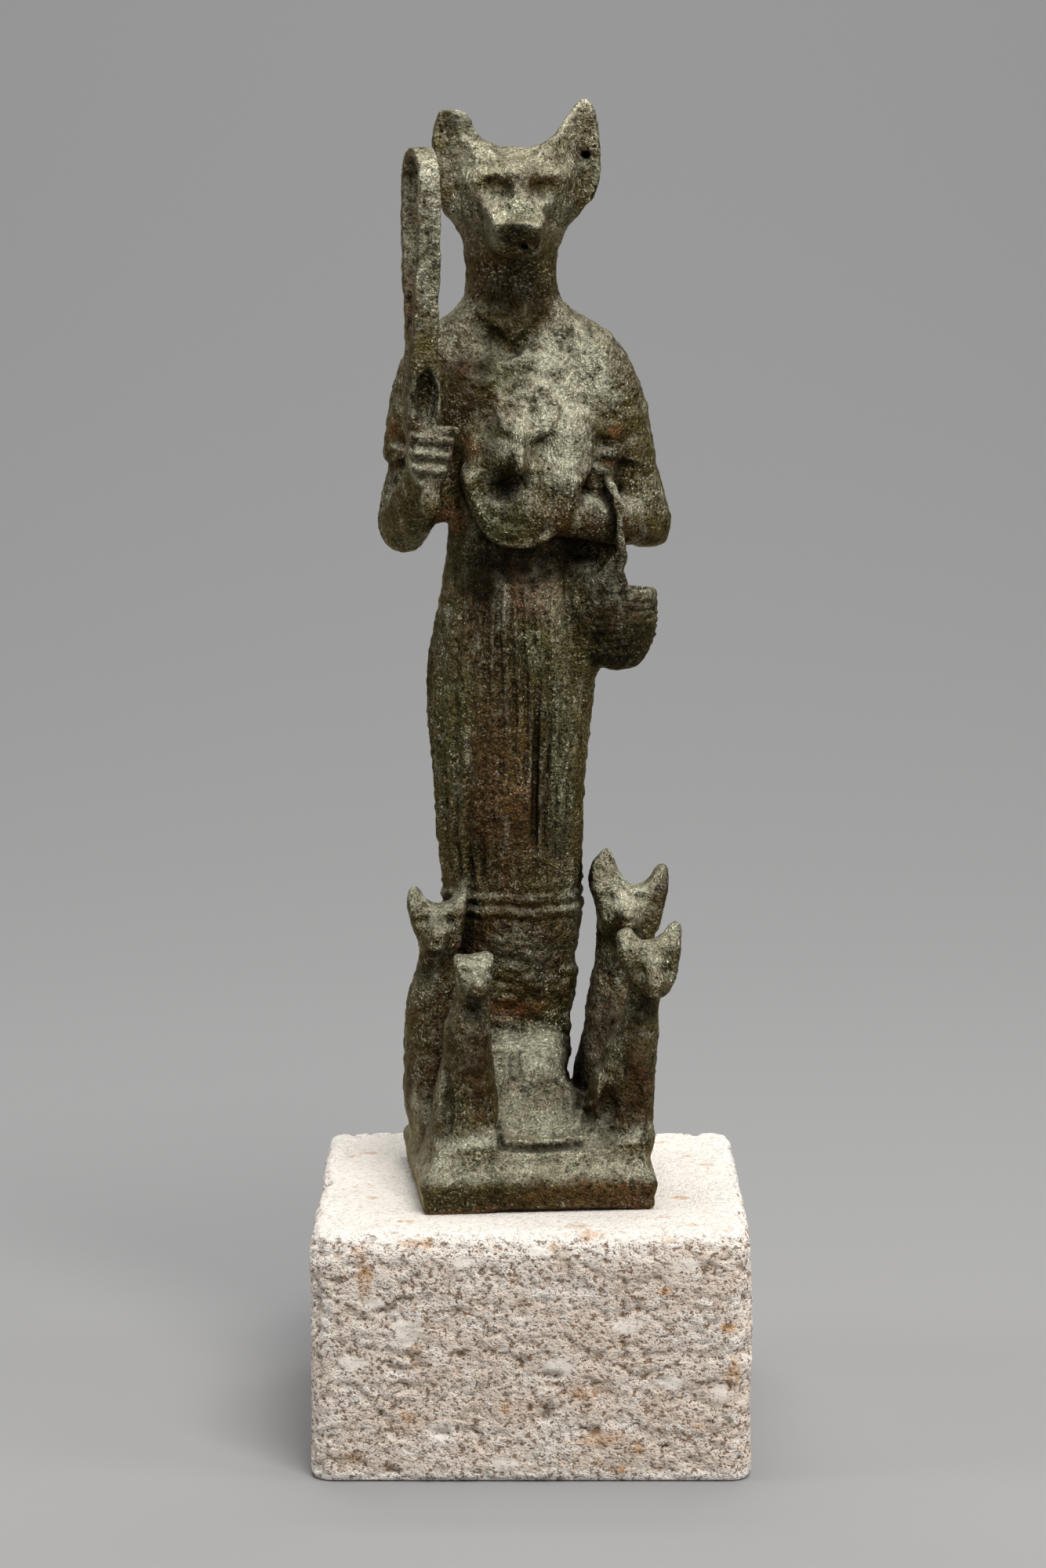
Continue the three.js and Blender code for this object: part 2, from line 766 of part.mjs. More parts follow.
// The casting: everything in bronze as one closed solid.
function castingMesh() {
  const family = Object.values(kittens).map(kittenSolid);
  const made = fuse([plateSolid(), footingSolid(), goddessSolid(), ...family]);
  const mesh = new THREE.Mesh(geometryOf(made), bronze);
  mesh.name = "bronze_casting";
  return mesh;
}

// The block, with its edges and corners tumbled round.
function blockMesh() {
  const roundingSteps = 2;
  const mesh = new THREE.Mesh(
    new RoundedBoxGeometry(blockWidth, blockDepth, blockHeight, roundingSteps, blockEdgeRadius),
    travertine,
  );
  mesh.geometry.translate(0, 0, blockHeight / 2);
  mesh.name = "travertine_block";
  return mesh;
}

const casting = new THREE.Group();
casting.add(castingMesh());
casting.rotation.z = THREE.MathUtils.degToRad(castingTurnDegrees);
casting.position.set(castingShiftX, castingShiftY, blockHeight);

const statuette = new THREE.Group();
statuette.add(blockMesh(), casting);

export default statuette;
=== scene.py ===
import math

import bpy
import numpy as np
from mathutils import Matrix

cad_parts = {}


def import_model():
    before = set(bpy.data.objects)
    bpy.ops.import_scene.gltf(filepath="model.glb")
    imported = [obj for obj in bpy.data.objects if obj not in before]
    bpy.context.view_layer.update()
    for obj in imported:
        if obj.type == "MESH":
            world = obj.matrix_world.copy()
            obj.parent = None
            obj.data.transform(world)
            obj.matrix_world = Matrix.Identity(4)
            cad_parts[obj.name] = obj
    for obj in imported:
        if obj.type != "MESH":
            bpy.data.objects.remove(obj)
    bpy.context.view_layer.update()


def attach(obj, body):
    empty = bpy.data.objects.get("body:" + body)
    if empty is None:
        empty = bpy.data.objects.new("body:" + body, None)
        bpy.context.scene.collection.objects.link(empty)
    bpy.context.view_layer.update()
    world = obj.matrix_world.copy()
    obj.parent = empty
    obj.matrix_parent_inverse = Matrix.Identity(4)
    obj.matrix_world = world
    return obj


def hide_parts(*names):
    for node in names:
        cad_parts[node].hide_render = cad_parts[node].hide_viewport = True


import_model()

# Lengths are millimetres until a mesh is made, and turns are degrees. The casting is shaped in its own frame,
# with +Z up from the plate's underside and the goddess looking along -Y. She is laid out from her soles up,
# with her axis at x = 0 and y = 0, and put at her place in that frame.
MM = 0.001
BLOCK = (52.0, 52.0, 30.0)
CASTING_TURN = 6.0
CASTING_PLACE = (-0.5, -0.5, 30.0)
GODDESS_PLACE = (-1.4, 5.0, 12.4)
PLATE_HALF = (14.0, 15.0)
PLATE_TOP = 4.6
TIER_TOP = 7.3
NICKS, LARGER_PITS = 110, 36

# Each piece is drawn on a grid of this step and brought down to so many triangles.
CASTING_STEP, CASTING_DRAFT_STEP = 0.27, 0.5
BLOCK_STEP, BLOCK_DRAFT_STEP = 0.31, 0.7
TRIANGLES = 190000
CAST_SEED, PATINA_SEED, STONE_SEED, NICK_SEED = 11, 43, 29, 5


# Distances


def smooth_min(a, b, k):
    """The lesser of two distances, with a fillet of about k where they meet."""
    h = np.maximum(k - np.abs(a - b), 0.0) / k
    return np.minimum(a, b) - h * h * (k / 4)


def smooth_max(a, b, k):
    """The greater of two distances, rounded in the same way."""
    return -smooth_min(-a, -b, k)


def smooth_step(low, high, t):
    s = np.clip((t - low) / (high - low), 0.0, 1.0)
    return s * s * (3 - 2 * s)


def through(knots, values, t):
    """A smooth curve through the values at the knots."""
    knots = np.asarray(knots, float)
    values = np.asarray(values, float)
    slopes = np.gradient(values, knots)
    i = np.clip(np.searchsorted(knots, t) - 1, 0, len(knots) - 2)
    h = knots[i + 1] - knots[i]
    s = np.clip((t - knots[i]) / h, 0.0, 1.0)
    a = (1 + 2 * s) * (1 - s) ** 2 * values[i] + s * (1 - s) ** 2 * h * slopes[i]
    b = s * s * (3 - 2 * s) * values[i + 1] + s * s * (s - 1) * h * slopes[i + 1]
    return (a + b).astype(np.float32)


def along(pairs, t):
    """A smooth curve through pairs of a knot and a value."""
    return through(*zip(*pairs), t)


class Form:
    """A shape as a distance function of x, y and z, below zero inside, with the box that holds it."""

    def __init__(self, low, high, distance):
        self.low = np.asarray(low, float)
        self.high = np.asarray(high, float)
        self.distance = distance

    def shifted(self, shift):
        dx, dy, dz = shift
        inner = self.distance
        return Form(self.low + shift, self.high + shift, lambda x, y, z: inner(x - dx, y - dy, z - dz))

    def turned(self, degrees, pivot=(0.0, 0.0)):
        """Turned anticlockwise about an upright axis through the pivot, seen from above."""
        c, s = math.cos(math.radians(degrees)), math.sin(math.radians(degrees))
        inner = self.distance
        px, py = pivot

        def distance(x, y, z):
            u, v = x - px, y - py
            return inner(c * u + s * v + px, -s * u + c * v + py, z)

        corners = [(x - px, y - py) for x in (self.low[0], self.high[0]) for y in (self.low[1], self.high[1])]
        turned = np.array([(c * u - s * v + px, s * u + c * v + py) for u, v in corners])
        return Form((*turned.min(0), self.low[2]), (*turned.max(0), self.high[2]), distance)

    def within(self, other, k=0.3):
        inner, keep = self.distance, other.distance
        return Form(self.low, self.high, lambda x, y, z: smooth_max(inner(x, y, z), keep(x, y, z), k))

    def without(self, other, k=0.3):
        cut = other.distance
        return self.within(Form(other.low, other.high, lambda x, y, z: -cut(x, y, z)), k)


def joined(forms, k):
    """One form from several, with fillets of k between them."""
    low = np.min([f.low for f in forms], axis=0)
    high = np.max([f.high for f in forms], axis=0)

    def distance(x, y, z):
        result = forms[0].distance(x, y, z)
        for form in forms[1:]:
            result = smooth_min(result, form.distance(x, y, z), k)
        return result

    return Form(low, high, distance)


def egg(centre, halves):
    """An ellipsoid."""
    c, h = np.asarray(centre, float), np.asarray(halves, float)

    def distance(x, y, z):
        u, v, w = (x - c[0]) / h[0], (y - c[1]) / h[1], (z - c[2]) / h[2]
        near = np.sqrt(u * u + v * v + w * w)
        slope = np.sqrt((u / h[0]) ** 2 + (v / h[1]) ** 2 + (w / h[2]) ** 2)
        return near * (near - 1) / np.maximum(slope, 1e-5)

    return Form(c - h, c + h, distance)


def limb(stations, k=0.2, steps=3):
    """A round limb through stations of x, y, z and radius, along a smooth curve."""
    rows = np.asarray(stations, float)
    if len(rows) > 2 and steps > 1:
        knots = np.arange(len(rows))
        t = np.linspace(0, len(rows) - 1, (len(rows) - 1) * steps + 1)
        rows = np.stack([through(knots, rows[:, i], t) for i in range(4)], axis=1)
    reach = rows[:, 3:4]
    low = (rows[:, :3] - reach).min(0)
    high = (rows[:, :3] + reach).max(0)

    def distance(x, y, z):
        result = None
        for a, b in zip(rows[:-1], rows[1:]):
            e = b[:3] - a[:3]
            wx, wy, wz = x - a[0], y - a[1], z - a[2]
            h = np.clip((wx * e[0] + wy * e[1] + wz * e[2]) / max(e @ e, 1e-9), 0, 1)
            d = np.sqrt((wx - h * e[0]) ** 2 + (wy - h * e[1]) ** 2 + (wz - h * e[2]) ** 2)
            d = d - (a[3] + (b[3] - a[3]) * h)
            result = d if result is None else smooth_min(result, d, k)
        return result

    return Form(low, high, distance)


def column(rows, power=2.0, ripple=None, k=0.5):
    """A stack of level ovals: rows of height, middle x, half width, middle y and half depth."""
    rows = np.asarray(rows, float)
    knots = rows[:, 0]
    reach_x, reach_y = rows[:, 2].max(), rows[:, 4].max()

    def distance(x, y, z):
        cx, a, cy, b = (through(knots, rows[:, i], z) for i in range(1, 5))
        u, v = (x - cx) / a, (y - cy) / b
        if power == 2.0:
            near = np.sqrt(u * u + v * v)
            slope = np.sqrt((u / a) ** 2 + (v / b) ** 2)
            d = near * (near - 1) / np.maximum(slope, 1e-5)
        else:
            near = (np.abs(u) ** power + np.abs(v) ** power) ** (1 / power)
            d = (near - 1) * np.minimum(a, b)
        if ripple is not None:
            d = d + ripple(x - cx, y - cy, z)
        d = smooth_max(d, z - knots[-1], k)
        return smooth_max(d, knots[0] - z, k)

    low = (rows[:, 1].min() - reach_x, rows[:, 3].min() - reach_y, knots[0])
    high = (rows[:, 1].max() + reach_x, rows[:, 3].max() + reach_y, knots[-1])
    return Form(low, high, distance)


def cushion(outline, middle, half, k=1.0, inset=0.0):
    """A form with an outline in x and z, whose middle y and half depth follow z and x."""
    points = [(float(x), float(z)) for x, z in outline]
    xs, zs = [p[0] for p in points], [p[1] for p in points]

    def distance(x, y, z):
        flat = outline_distance(points, x, z) + inset
        deep = np.abs(y - middle(x, z)) - half(x, z)
        return smooth_max(flat, deep, k)

    return Form((min(xs) - 0.5, -20, min(zs) - 0.5), (max(xs) + 0.5, 20, max(zs) + 0.5), distance)


def solid_of(planes, low, high, k=0.6):
    """The space behind all of the planes, each a point and an outward normal, with soft edges."""
    sides = [half_space(point, normal) for point, normal in planes]
    whole = Form(low, high, sides[0].distance)
    for side in sides[1:]:
        whole = whole.within(side, k)
    return whole


def half_space(point, normal):
    """Everything behind a plane, as a form to cut or keep with."""
    p, n = np.asarray(point, float), np.asarray(normal, float)
    n = n / np.linalg.norm(n)
    return Form(
        (-1e3,) * 3, (1e3,) * 3, lambda x, y, z: (x - p[0]) * n[0] + (y - p[1]) * n[1] + (z - p[2]) * n[2],
    )


def round_corner(a, b, radius):
    """Distance to a corner, from how far points are past the straight parts of its two sides."""
    return np.sqrt(np.maximum(a, 0) ** 2 + np.maximum(b, 0) ** 2) + np.minimum(np.maximum(a, b), 0) - radius


def outline_distance(points, u, v):
    """Distance to a closed outline in a plane, below zero inside."""
    nearest = None
    odd = False
    for (ax, ay), (bx, by) in zip(points, points[1:] + points[:1]):
        ex, ey = bx - ax, by - ay
        wx, wy = u - ax, v - ay
        h = np.clip((wx * ex + wy * ey) / (ex * ex + ey * ey), 0, 1)
        d = (wx - ex * h) ** 2 + (wy - ey * h) ** 2
        nearest = d if nearest is None else np.minimum(nearest, d)
        if ay != by:
            between = (ay <= v) != (by <= v)
            odd = odd ^ (between & (u < ax + (v - ay) * ex / ey))
    return np.where(odd, -1.0, 1.0) * np.sqrt(nearest)


def between(f, value):
    """Values between the nodes of a grid, from the share of a step on each axis and the value at a corner."""
    result = np.zeros(len(f), np.float32)
    for corner in range(8):
        ahead = [(corner >> axis) & 1 for axis in range(3)]
        x, y, z = (f[:, axis] if one else 1 - f[:, axis] for axis, one in enumerate(ahead))
        result += x * y * z * value(*ahead)
    return result


class Volume:
    """Distances on a grid, from which one closed surface is drawn. Forms are added at its place."""

    far = 4.0
    place = (0.0, 0.0, 0.0)

    def __init__(self, low, high, step):
        self.low = np.asarray(low, float)
        self.step = step
        counts = np.ceil((np.asarray(high) - self.low) / step).astype(int) + 1
        self.field = np.full(counts, self.far, dtype=np.float32)

    def window(self, form, margin):
        first = np.floor((form.low - margin - self.low) / self.step).astype(int)
        last = np.ceil((form.high + margin - self.low) / self.step).astype(int) + 1
        first = np.clip(first, 0, self.field.shape)
        last = np.clip(last, first, self.field.shape)
        spans = tuple(slice(a, b) for a, b in zip(first, last))
        axes = [(self.low[i] + self.step * np.arange(first[i], last[i])).astype(np.float32) for i in range(3)]
        return spans, (axes[0][:, None, None], axes[1][None, :, None], axes[2][None, None, :])

    def blend(self, form, k, cutting=False):
        """Join or cut a form that is given in the grid's own frame."""
        spans, grid = self.window(form, 1.0 if cutting else 3.0)
        fillet = k(*grid) if callable(k) else k
        distance = form.distance(*grid)
        if cutting:
            self.field[spans] = smooth_max(self.field[spans], -distance, fillet)
        else:
            self.field[spans] = smooth_min(self.field[spans], distance, fillet)

    def add(self, form, k=0.6):
        """Join a form with a fillet of k, a number or a function of x, y and z in the grid's frame."""
        self.blend(form.shifted(self.place), k)

    def cut(self, form, k=0.4):
        self.blend(form.shifted(self.place), k, cutting=True)

    def front(self, x, z):
        """The y at which a line looking along +Y first meets the surface."""
        i = int(round((x - self.low[0]) / self.step))
        k = int(round((z - self.low[2]) / self.step))
        line = self.field[i, :, k]
        j = int(np.argmax(line < 0))
        f0, f1 = line[j - 1], line[j]
        return self.low[1] + self.step * (j - 1 + f0 / (f0 - f1))

    def along_front(self, path, sign):
        """A limb let into the front (sign 1) or laid on it (sign -1)."""
        rows = []
        for x, z, radius, depth in path:
            x, z = x + self.place[0], z + self.place[2]
            rows.append((x, self.front(x, z) - sign * radius + sign * depth, z, radius))
        return limb(rows, steps=1 if len(rows) < 3 else 3)

    def carve(self, path, k=0.4):
        """A groove along the front through stations of x, z, radius and depth."""
        self.blend(self.along_front(path, 1), k, cutting=True)

    def raise_ridge(self, path, k=0.4):
        """A ridge along the front through stations of x, z, radius and height."""
        self.blend(self.along_front(path, -1), k)

    def sample(self, points):
        """The field at points, between grid nodes."""
        q = (points - self.low) / self.step
        q = np.clip(q, 0, np.array(self.field.shape) - 1.001)
        i = q.astype(np.int64)
        f = (q - i).astype(np.float32)
        ny, nz = self.field.shape[1:]
        flat = self.field.ravel()
        base = (i[:, 0] * ny + i[:, 1]) * nz + i[:, 2]
        return between(f, lambda a, b, c: flat[base + (a * ny + b) * nz + c])

    def slope(self, points):
        """The outward direction of the field at points."""
        h = 0.6 * self.step
        columns = []
        for axis in range(3):
            e = np.zeros(3)
            e[axis] = h
            columns.append(self.sample(points + e) - self.sample(points - e))
        g = np.stack(columns, axis=1)
        return g / np.maximum(np.linalg.norm(g, axis=1, keepdims=True), 1e-9)

    def surface(self):
        """Vertices and four-sided faces of the zero surface."""
        inside = self.field < 0
        counts = np.array(self.field.shape)
        cells, places, loops = [], [], []
        for axis in range(3):
            others = [(axis + 1) % 3, (axis + 2) % 3]
            lower = tuple(slice(0, -1) if a == axis else slice(None) for a in range(3))
            upper = tuple(slice(1, None) if a == axis else slice(None) for a in range(3))
            node = np.argwhere(inside[lower] != inside[upper])
            f0 = self.field[tuple(node.T)]
            ahead = node.copy()
            ahead[:, axis] += 1
            f1 = self.field[tuple(ahead.T)]
            place = node.astype(float)
            place[:, axis] += f0 / (f0 - f1)
            out = f0 < 0
            around = []
            for du, dv in ((-1, -1), (0, -1), (0, 0), (-1, 0)):
                cell = node.copy()
                cell[:, others[0]] += du
                cell[:, others[1]] += dv
                around.append((cell[:, 0] * counts[1] + cell[:, 1]) * counts[2] + cell[:, 2])
            around = np.stack(around, axis=1)
            around[~out] = around[~out][:, ::-1]
            cells.append(around)
            places.append(np.repeat(place, 4, axis=0))
        cells = np.concatenate(cells)
        places = np.concatenate(places)
        names, index = np.unique(cells.ravel(), return_inverse=True)
        total = np.bincount(index)
        points = np.stack([np.bincount(index, weights=places[:, a]) / total for a in range(3)], axis=1)
        points = points * self.step + self.low
        for _ in range(2):
            points = points - self.slope(points) * self.sample(points)[:, None] * 0.8
        return points, index.reshape(-1, 4)


class Noise:
    """Smooth random values from -1 to 1 in space, the same on each run."""

    size = 64

    def __init__(self, seed):
        self.table = np.random.default_rng(seed).uniform(-1, 1, self.size**3).astype(np.float32)

    def at(self, points, grain):
        q = np.asarray(points, float) / grain
        i = np.floor(q).astype(np.int64)
        f = (q - i).astype(np.float32)
        f = f * f * (3 - 2 * f)
        i %= self.size
        j = (i + 1) % self.size

        def value(*ahead):
            u, v, w = ((j if one else i)[:, axis] for axis, one in enumerate(ahead))
            return self.table[(u * self.size + v) * self.size + w]

        return between(f, value)

    def layers(self, points, grain, count, fading=0.5):
        result, strength = 0.0, 1.0
        for n in range(count):
            result = result + strength * self.at(points + 17.3 * n, grain / 2**n)
            strength *= fading
        return result


# The goddess


def pleats(x, y, z):
    """Upright folds of the dress, a little uneven, and flat near the waist and the hem."""
    angle = np.arctan2(x, -y)
    wander = 0.05 * np.sin(z * 0.11 + 2.0 * angle) + 0.03 * np.sin(z * 0.23 + 1.3)
    folds = np.cos(29 * (angle + wander))
    finer = np.cos(61 * (angle + 0.7 * wander) + 0.7)
    strength = smooth_step(23.0, 26.5, z) * (1 - 0.6 * smooth_step(58, 67, z))
    fading = 0.72 + 0.28 * np.sin(3 * angle + 0.15 * z)
    return -(0.31 * folds + 0.11 * finer) * strength * fading


# The hem's grooves, each a height and a depth.
HEM_LINES = ((24.3, 0.14), (22.6, 0.33), (20.9, 0.33))


def hem_relief(x, y, z):
    """Pleats above, three shallow grooves with low ridges between them, and rough folds below."""
    angle = np.arctan2(x, -y)
    level = z + 0.25 * np.sin(2.0 * angle + 0.6) + 0.13 * np.sin(7 * angle)
    level = level + 0.07 * np.sin(17 * angle + 1.0)
    worn = 0.78 + 0.3 * np.sin(5 * angle + 0.8 * z) * np.sin(11 * angle - 1.7)
    relief = pleats(x, y, z)
    for line, depth in HEM_LINES:
        relief = relief + worn * depth * np.exp(-(((level - line) / 0.32) ** 2))
        relief = relief - 0.8 * worn * depth * np.exp(-(((level - line - 0.85) / 0.5) ** 2))
    below = smooth_step(20.3, 17.5, z)
    lumps = 0.24 * np.sin(1.35 * z + 2 * angle) * np.sin(2.6 * angle + 0.5 * z)
    lumps = lumps + 0.1 * np.sin(3.1 * z - 5 * angle) * np.sin(9.0 * angle + 1.1 * z)
    return relief + below * lumps


def dress():
    """The dress and what it covers, from below the soles to the waist."""
    rows = [
        (-3, 0, 7.6, 1, 6.2), (0, 0.1, 7.0, 0.9, 5.4), (3.8, 0.15, 6.9, 0.7, 4.9), (7, 0.2, 7.2, 0.5, 4.8),
        (10, 0.15, 7.65, 0.3, 5.1), (13.5, 0.05, 8.1, 0.2, 5.6), (16, 0.0, 8.0, 0.1, 5.7),
        (18.5, 0, 8.35, 0, 5.95), (21, 0, 8.8, 0, 6.2), (24, -0.05, 8.6, 0, 6.1), (31, -0.25, 8.85, 0, 6.3),
        (38, -0.25, 9.2, 0, 6.7), (44, -0.2, 9.85, 0.2, 7.2), (50, 0, 10.15, 0.4, 7.5),
        (56.5, 0, 9.5, 0.4, 7.0), (62, 0, 8.4, 0.2, 6.3), (68, 0, 7.6, 0, 5.6), (72, 0, 7.5, 0, 5.5),
    ]
    return column(rows, ripple=hem_relief)


def creases(volume):
    """A few deeper upright folds down the front of the dress."""
    for path in (
        [(-3.0, 31.5, 0.35, 0.16), (-2.9, 36.0, 0.4, 0.24), (-3.0, 42.0, 0.35, 0.12)],
        [(0.0, 26.0, 0.35, 0.16), (-0.1, 32.0, 0.4, 0.24), (-0.2, 37.5, 0.35, 0.12)],
        [(2.3, 26.0, 0.4, 0.20), (2.2, 36.0, 0.45, 0.26), (2.4, 47.0, 0.4, 0.14)],
        [(5.9, 44.0, 0.35, 0.12), (5.9, 54.0, 0.45, 0.22), (5.2, 61.0, 0.35, 0.14)],
    ):
        volume.carve(path, 0.3)
    for path in (
        [(-2.5, 32.5, 0.2, 0.12), (-2.4, 37.0, 0.22, 0.2), (-2.5, 41.5, 0.2, 0.1)],
        [(0.5, 26.5, 0.2, 0.14), (0.4, 32.0, 0.22, 0.2), (0.3, 37.0, 0.2, 0.1)],
        [(2.9, 26.0, 0.22, 0.14), (2.8, 36.0, 0.25, 0.22), (3.0, 47.5, 0.22, 0.1)],
    ):
        volume.raise_ridge(path, 0.15)


def torso():
    """The body and neck above the waist."""
    rows = [
        (62, 0, 8.2, 0.2, 6.1), (66, 0.1, 7.7, 0, 5.7), (70, 0.2, 7.6, 0, 5.6), (75, 0.3, 8.3, 0, 5.9),
        (81, 0.4, 9.5, 0, 6.5), (87, 0.3, 10.7, 0.3, 6.5), (90.5, 0.2, 11.0, 0.5, 6.0),
        (93.2, 0.2, 9.7, 0.5, 5.6), (95, 0.2, 7.4, 0.4, 5.3), (96.6, 0.1, 5.9, 0.3, 5.1),
        (99, 0, 5.3, 0.1, 5.0), (103, 0, 5.3, -0.2, 5.0), (107, 0, 5.6, -0.4, 5.2),
    ]
    return column(rows)


def raised_arm():
    """Her right arm, bent up to hold the rattle in front of the shoulder."""
    upper = limb([
        (-11, 0, 80, 3.1), (-12.3, -0.3, 74, 3.2), (-13.2, -0.9, 70, 3.1), (-13.3, -1.3, 68.4, 2.6),
    ])
    forearm = limb([
        (-13.1, -0.9, 69.2, 2.9), (-12.6, -5, 71.0, 3.0), (-11.6, -10, 75.2, 2.45), (-11.0, -12.4, 77.2, 2.3),
    ])
    return joined([upper, forearm], 0.9)


def bent_arm():
    """Her left arm, bent across the waist, with a flat underside."""
    upper = limb([
        (12.2, 0, 81, 3.3), (14.2, -0.3, 75, 3.6), (15.9, -0.7, 70.4, 3.4), (16.7, -0.8, 68.6, 2.6),
    ])
    forearm = limb([
        (16.2, -0.9, 69.3, 2.9), (12, -3.6, 69.8, 3.0), (7.5, -6.2, 70.5, 2.75), (2, -8, 71, 2.5),
    ])
    elbow = limb([(16.3, -0.6, 68.6, 2.0), (17.9, -0.4, 67.4, 1.0)], steps=1)
    underside = half_space((12, -3, 66.2), (-0.02, -0.1, -1))
    return joined([upper, forearm, elbow], 0.9).within(underside, 0.7)


def sleeve(stations, hem, hem_normal):
    """A short sleeve, cut off level at its hem."""
    return limb(stations).within(half_space(hem, hem_normal), 0.5)


def arms(volume):
    """Both arms with their short sleeves, and the metal between them and the body."""
    bent_sleeve = sleeve(
        [(5.6, 0.2, 92.1, 3.1), (9.3, -0.1, 89.3, 4.1), (11.7, -0.3, 84.3, 4.35), (13.2, -0.6, 77.4, 4.35)],
        (13.2, -1.0, 77.6), (-0.45, 0.1, -1.0),
    )
    raised_sleeve = sleeve(
        [(-5.2, 0.5, 91.2, 3), (-9.2, 0.5, 88.4, 3.8), (-10.9, 0.4, 83, 4.05), (-11.6, -0.1, 77.6, 4.05)],
        (-11.6, 0, 77.9), (0.25, 0.1, -1.0),
    )
    # Metal fills the narrow gaps between the arms and the body.
    web_outline = [
        (-12.5, 72), (-11.0, 69.9), (-9.4, 69.4), (-7.9, 69.6),
        (-6.9, 69.0), (-5, 67.5), (-5, 82), (-12.5, 82),
    ]
    web = cushion(web_outline, lambda x, z: -1.8 + 0 * x, lambda x, z: 1.5 + 0 * x)
    armpit = limb([(9.3, -1.6, 89.5, 3.0), (10.2, -2.2, 84, 3.2), (10.9, -2.6, 79.2, 3.0)])
    fillings = [
        egg((9.4, 0.4, 78), (4.6, 4.0, 9)), egg((10, 1.2, 65.5), (4.3, 2.1, 8.5)), web, armpit,
        egg((9.8, -3.8, 75.5), (2.6, 3.0, 4.0)),
    ]
    for form in fillings:
        volume.add(form, 1.2)
    for form, k in ((bent_arm(), 0.9), (raised_arm(), 0.9), (bent_sleeve, 0.8), (raised_sleeve, 0.8)):
        volume.add(form, k)


def sleeve_folds(volume):
    """Folds that run from the armpits across the short sleeves."""
    for path in (
        [(9.8, 79.4, 0.7, 0.3), (12.4, 79.0, 0.6, 0.35), (15.0, 80.4, 0.4, 0.15)],
        [(9.8, 77.2, 0.7, 0.45), (12.0, 76.5, 0.6, 0.4)], [(9.8, 75.0, 0.8, 0.6), (11.4, 74.2, 0.8, 0.55)],
        [(9.6, 83.0, 0.8, 0.25), (11.2, 82.2, 0.7, 0.2)], [(-10.2, 84.9, 0.6, 0.3), (-13.0, 83.2, 0.5, 0.35)],
        [(-13.2, 78.9, 0.5, 0.3), (-15.0, 79.9, 0.5, 0.25)],
    ):
        volume.carve(path, 0.7)


def fist(volume):
    """A closed hand whose four fingers show as worn level ridges."""
    outline = [
        (-13.6, 81.0), (-9.8, 81.6), (-8.0, 81.3), (-8.2, 79.2), (-8.7, 77.0),
        (-9.6, 75.0), (-10.6, 73.2), (-11.6, 73.2), (-13.1, 75.2), (-13.9, 77.6),
    ]
    middle_y, finger = -12.7, 1.9

    def distance(x, y, z):
        half = 2.5 - 0.06 * (x + 11.4) ** 2 - 0.9 * smooth_step(77.0, 72.5, z)
        fingers = 0.42 * np.cos(2 * np.pi * (z - 78.3 + 0.1 * (x + 11)) / finger)
        fingers = fingers * smooth_step(73.2, 74.4, z) * smooth_step(-14.2, -12.6, x) * (y < middle_y)
        return smooth_max(outline_distance(outline, x, z), np.abs(y - middle_y) - half - fingers, 1.0)

    volume.add(Form((-14.2, -15.7, 72.8), (-7.8, -9.7, 81.9), distance), 0.6)
    volume.add(limb([(-12.2, -14.6, 81.0, 0.5), (-9.9, -14.9, 81.2, 0.5), (-7.9, -14.3, 81.1, 0.45)]), 0.35)
    # The foot of the handle, below the hand.
    foot = egg((-11.1, -14.9, 72.6), (1.25, 1.2, 1.75))
    neck = limb([(-11.2, -13.8, 75.2, 1.3), (-11.1, -14.4, 73.4, 1.1)], steps=1)
    volume.add(joined([foot, neck], 0.5), 0.12)


def rattle_loop():
    """A strip bent to a tall loop, whose legs draw in below the shoulder."""
    half, half_width, thickness = 4.5, 1.42, 1.2
    top, shoulder, foot, foot_half = 114.2, 107.0, 89.4, 2.2
    arch = top - half
    # The half depths of the loop's middle line, above the shoulder and at the foot.
    middle, foot_middle = half - thickness / 2, foot_half - thickness / 2

    def distance(x, y, z):
        gather = smooth_step(foot, shoulder, z)
        reach = foot_middle + (middle - foot_half + thickness / 2) * gather
        legs = np.abs(np.abs(y) - reach) - thickness / 2
        legs = smooth_max(legs, z - arch, 0.05)
        bow = np.abs(np.sqrt(y * y + (z - arch) ** 2) - middle) - thickness / 2
        bow = smooth_max(bow, arch - z, 0.05)
        loop = smooth_max(np.minimum(legs, bow), foot - z, 0.3)
        width = half_width - 0.12 + 0.012 * (arch - z) + 0.05 * np.sin(0.9 * z) + 0.04 * np.sin(2.1 * z + y)
        return smooth_max(loop, np.abs(x) - width, 0.2)

    return Form((-half_width - 0.3, -half, foot), (half_width + 0.3, half, top), distance)


def rattle():
    """The sistrum, turned a little outward: its loop on a block with a recess, and a short handle."""
    block = column([
        (80.6, 0, 1.7, 0, 1.6), (82, 0, 1.95, 0, 2.3), (85, 0, 2.0, 0, 2.6), (89, 0, 1.85, 0, 2.5),
        (91.5, 0, 1.5, 0, 2.1), (93.5, 0, 1.35, 0, 2.0),
    ], power=4.0)
    recess = egg((0.05, -3.0, 84.9), (1.5, 2.3, 3.6))
    handle_rows = ((72, 0.5), (72.6, 1.0), (73.8, 1.2), (75.4, 1.0), (82, 1.25))
    handle = column([(height, 0, half, 0, half) for height, half in handle_rows])
    whole = joined([rattle_loop(), block, handle], 0.4).without(recess, 0.15)
    return whole.turned(10.0).shifted((-12.0, -13.0, 0.0))


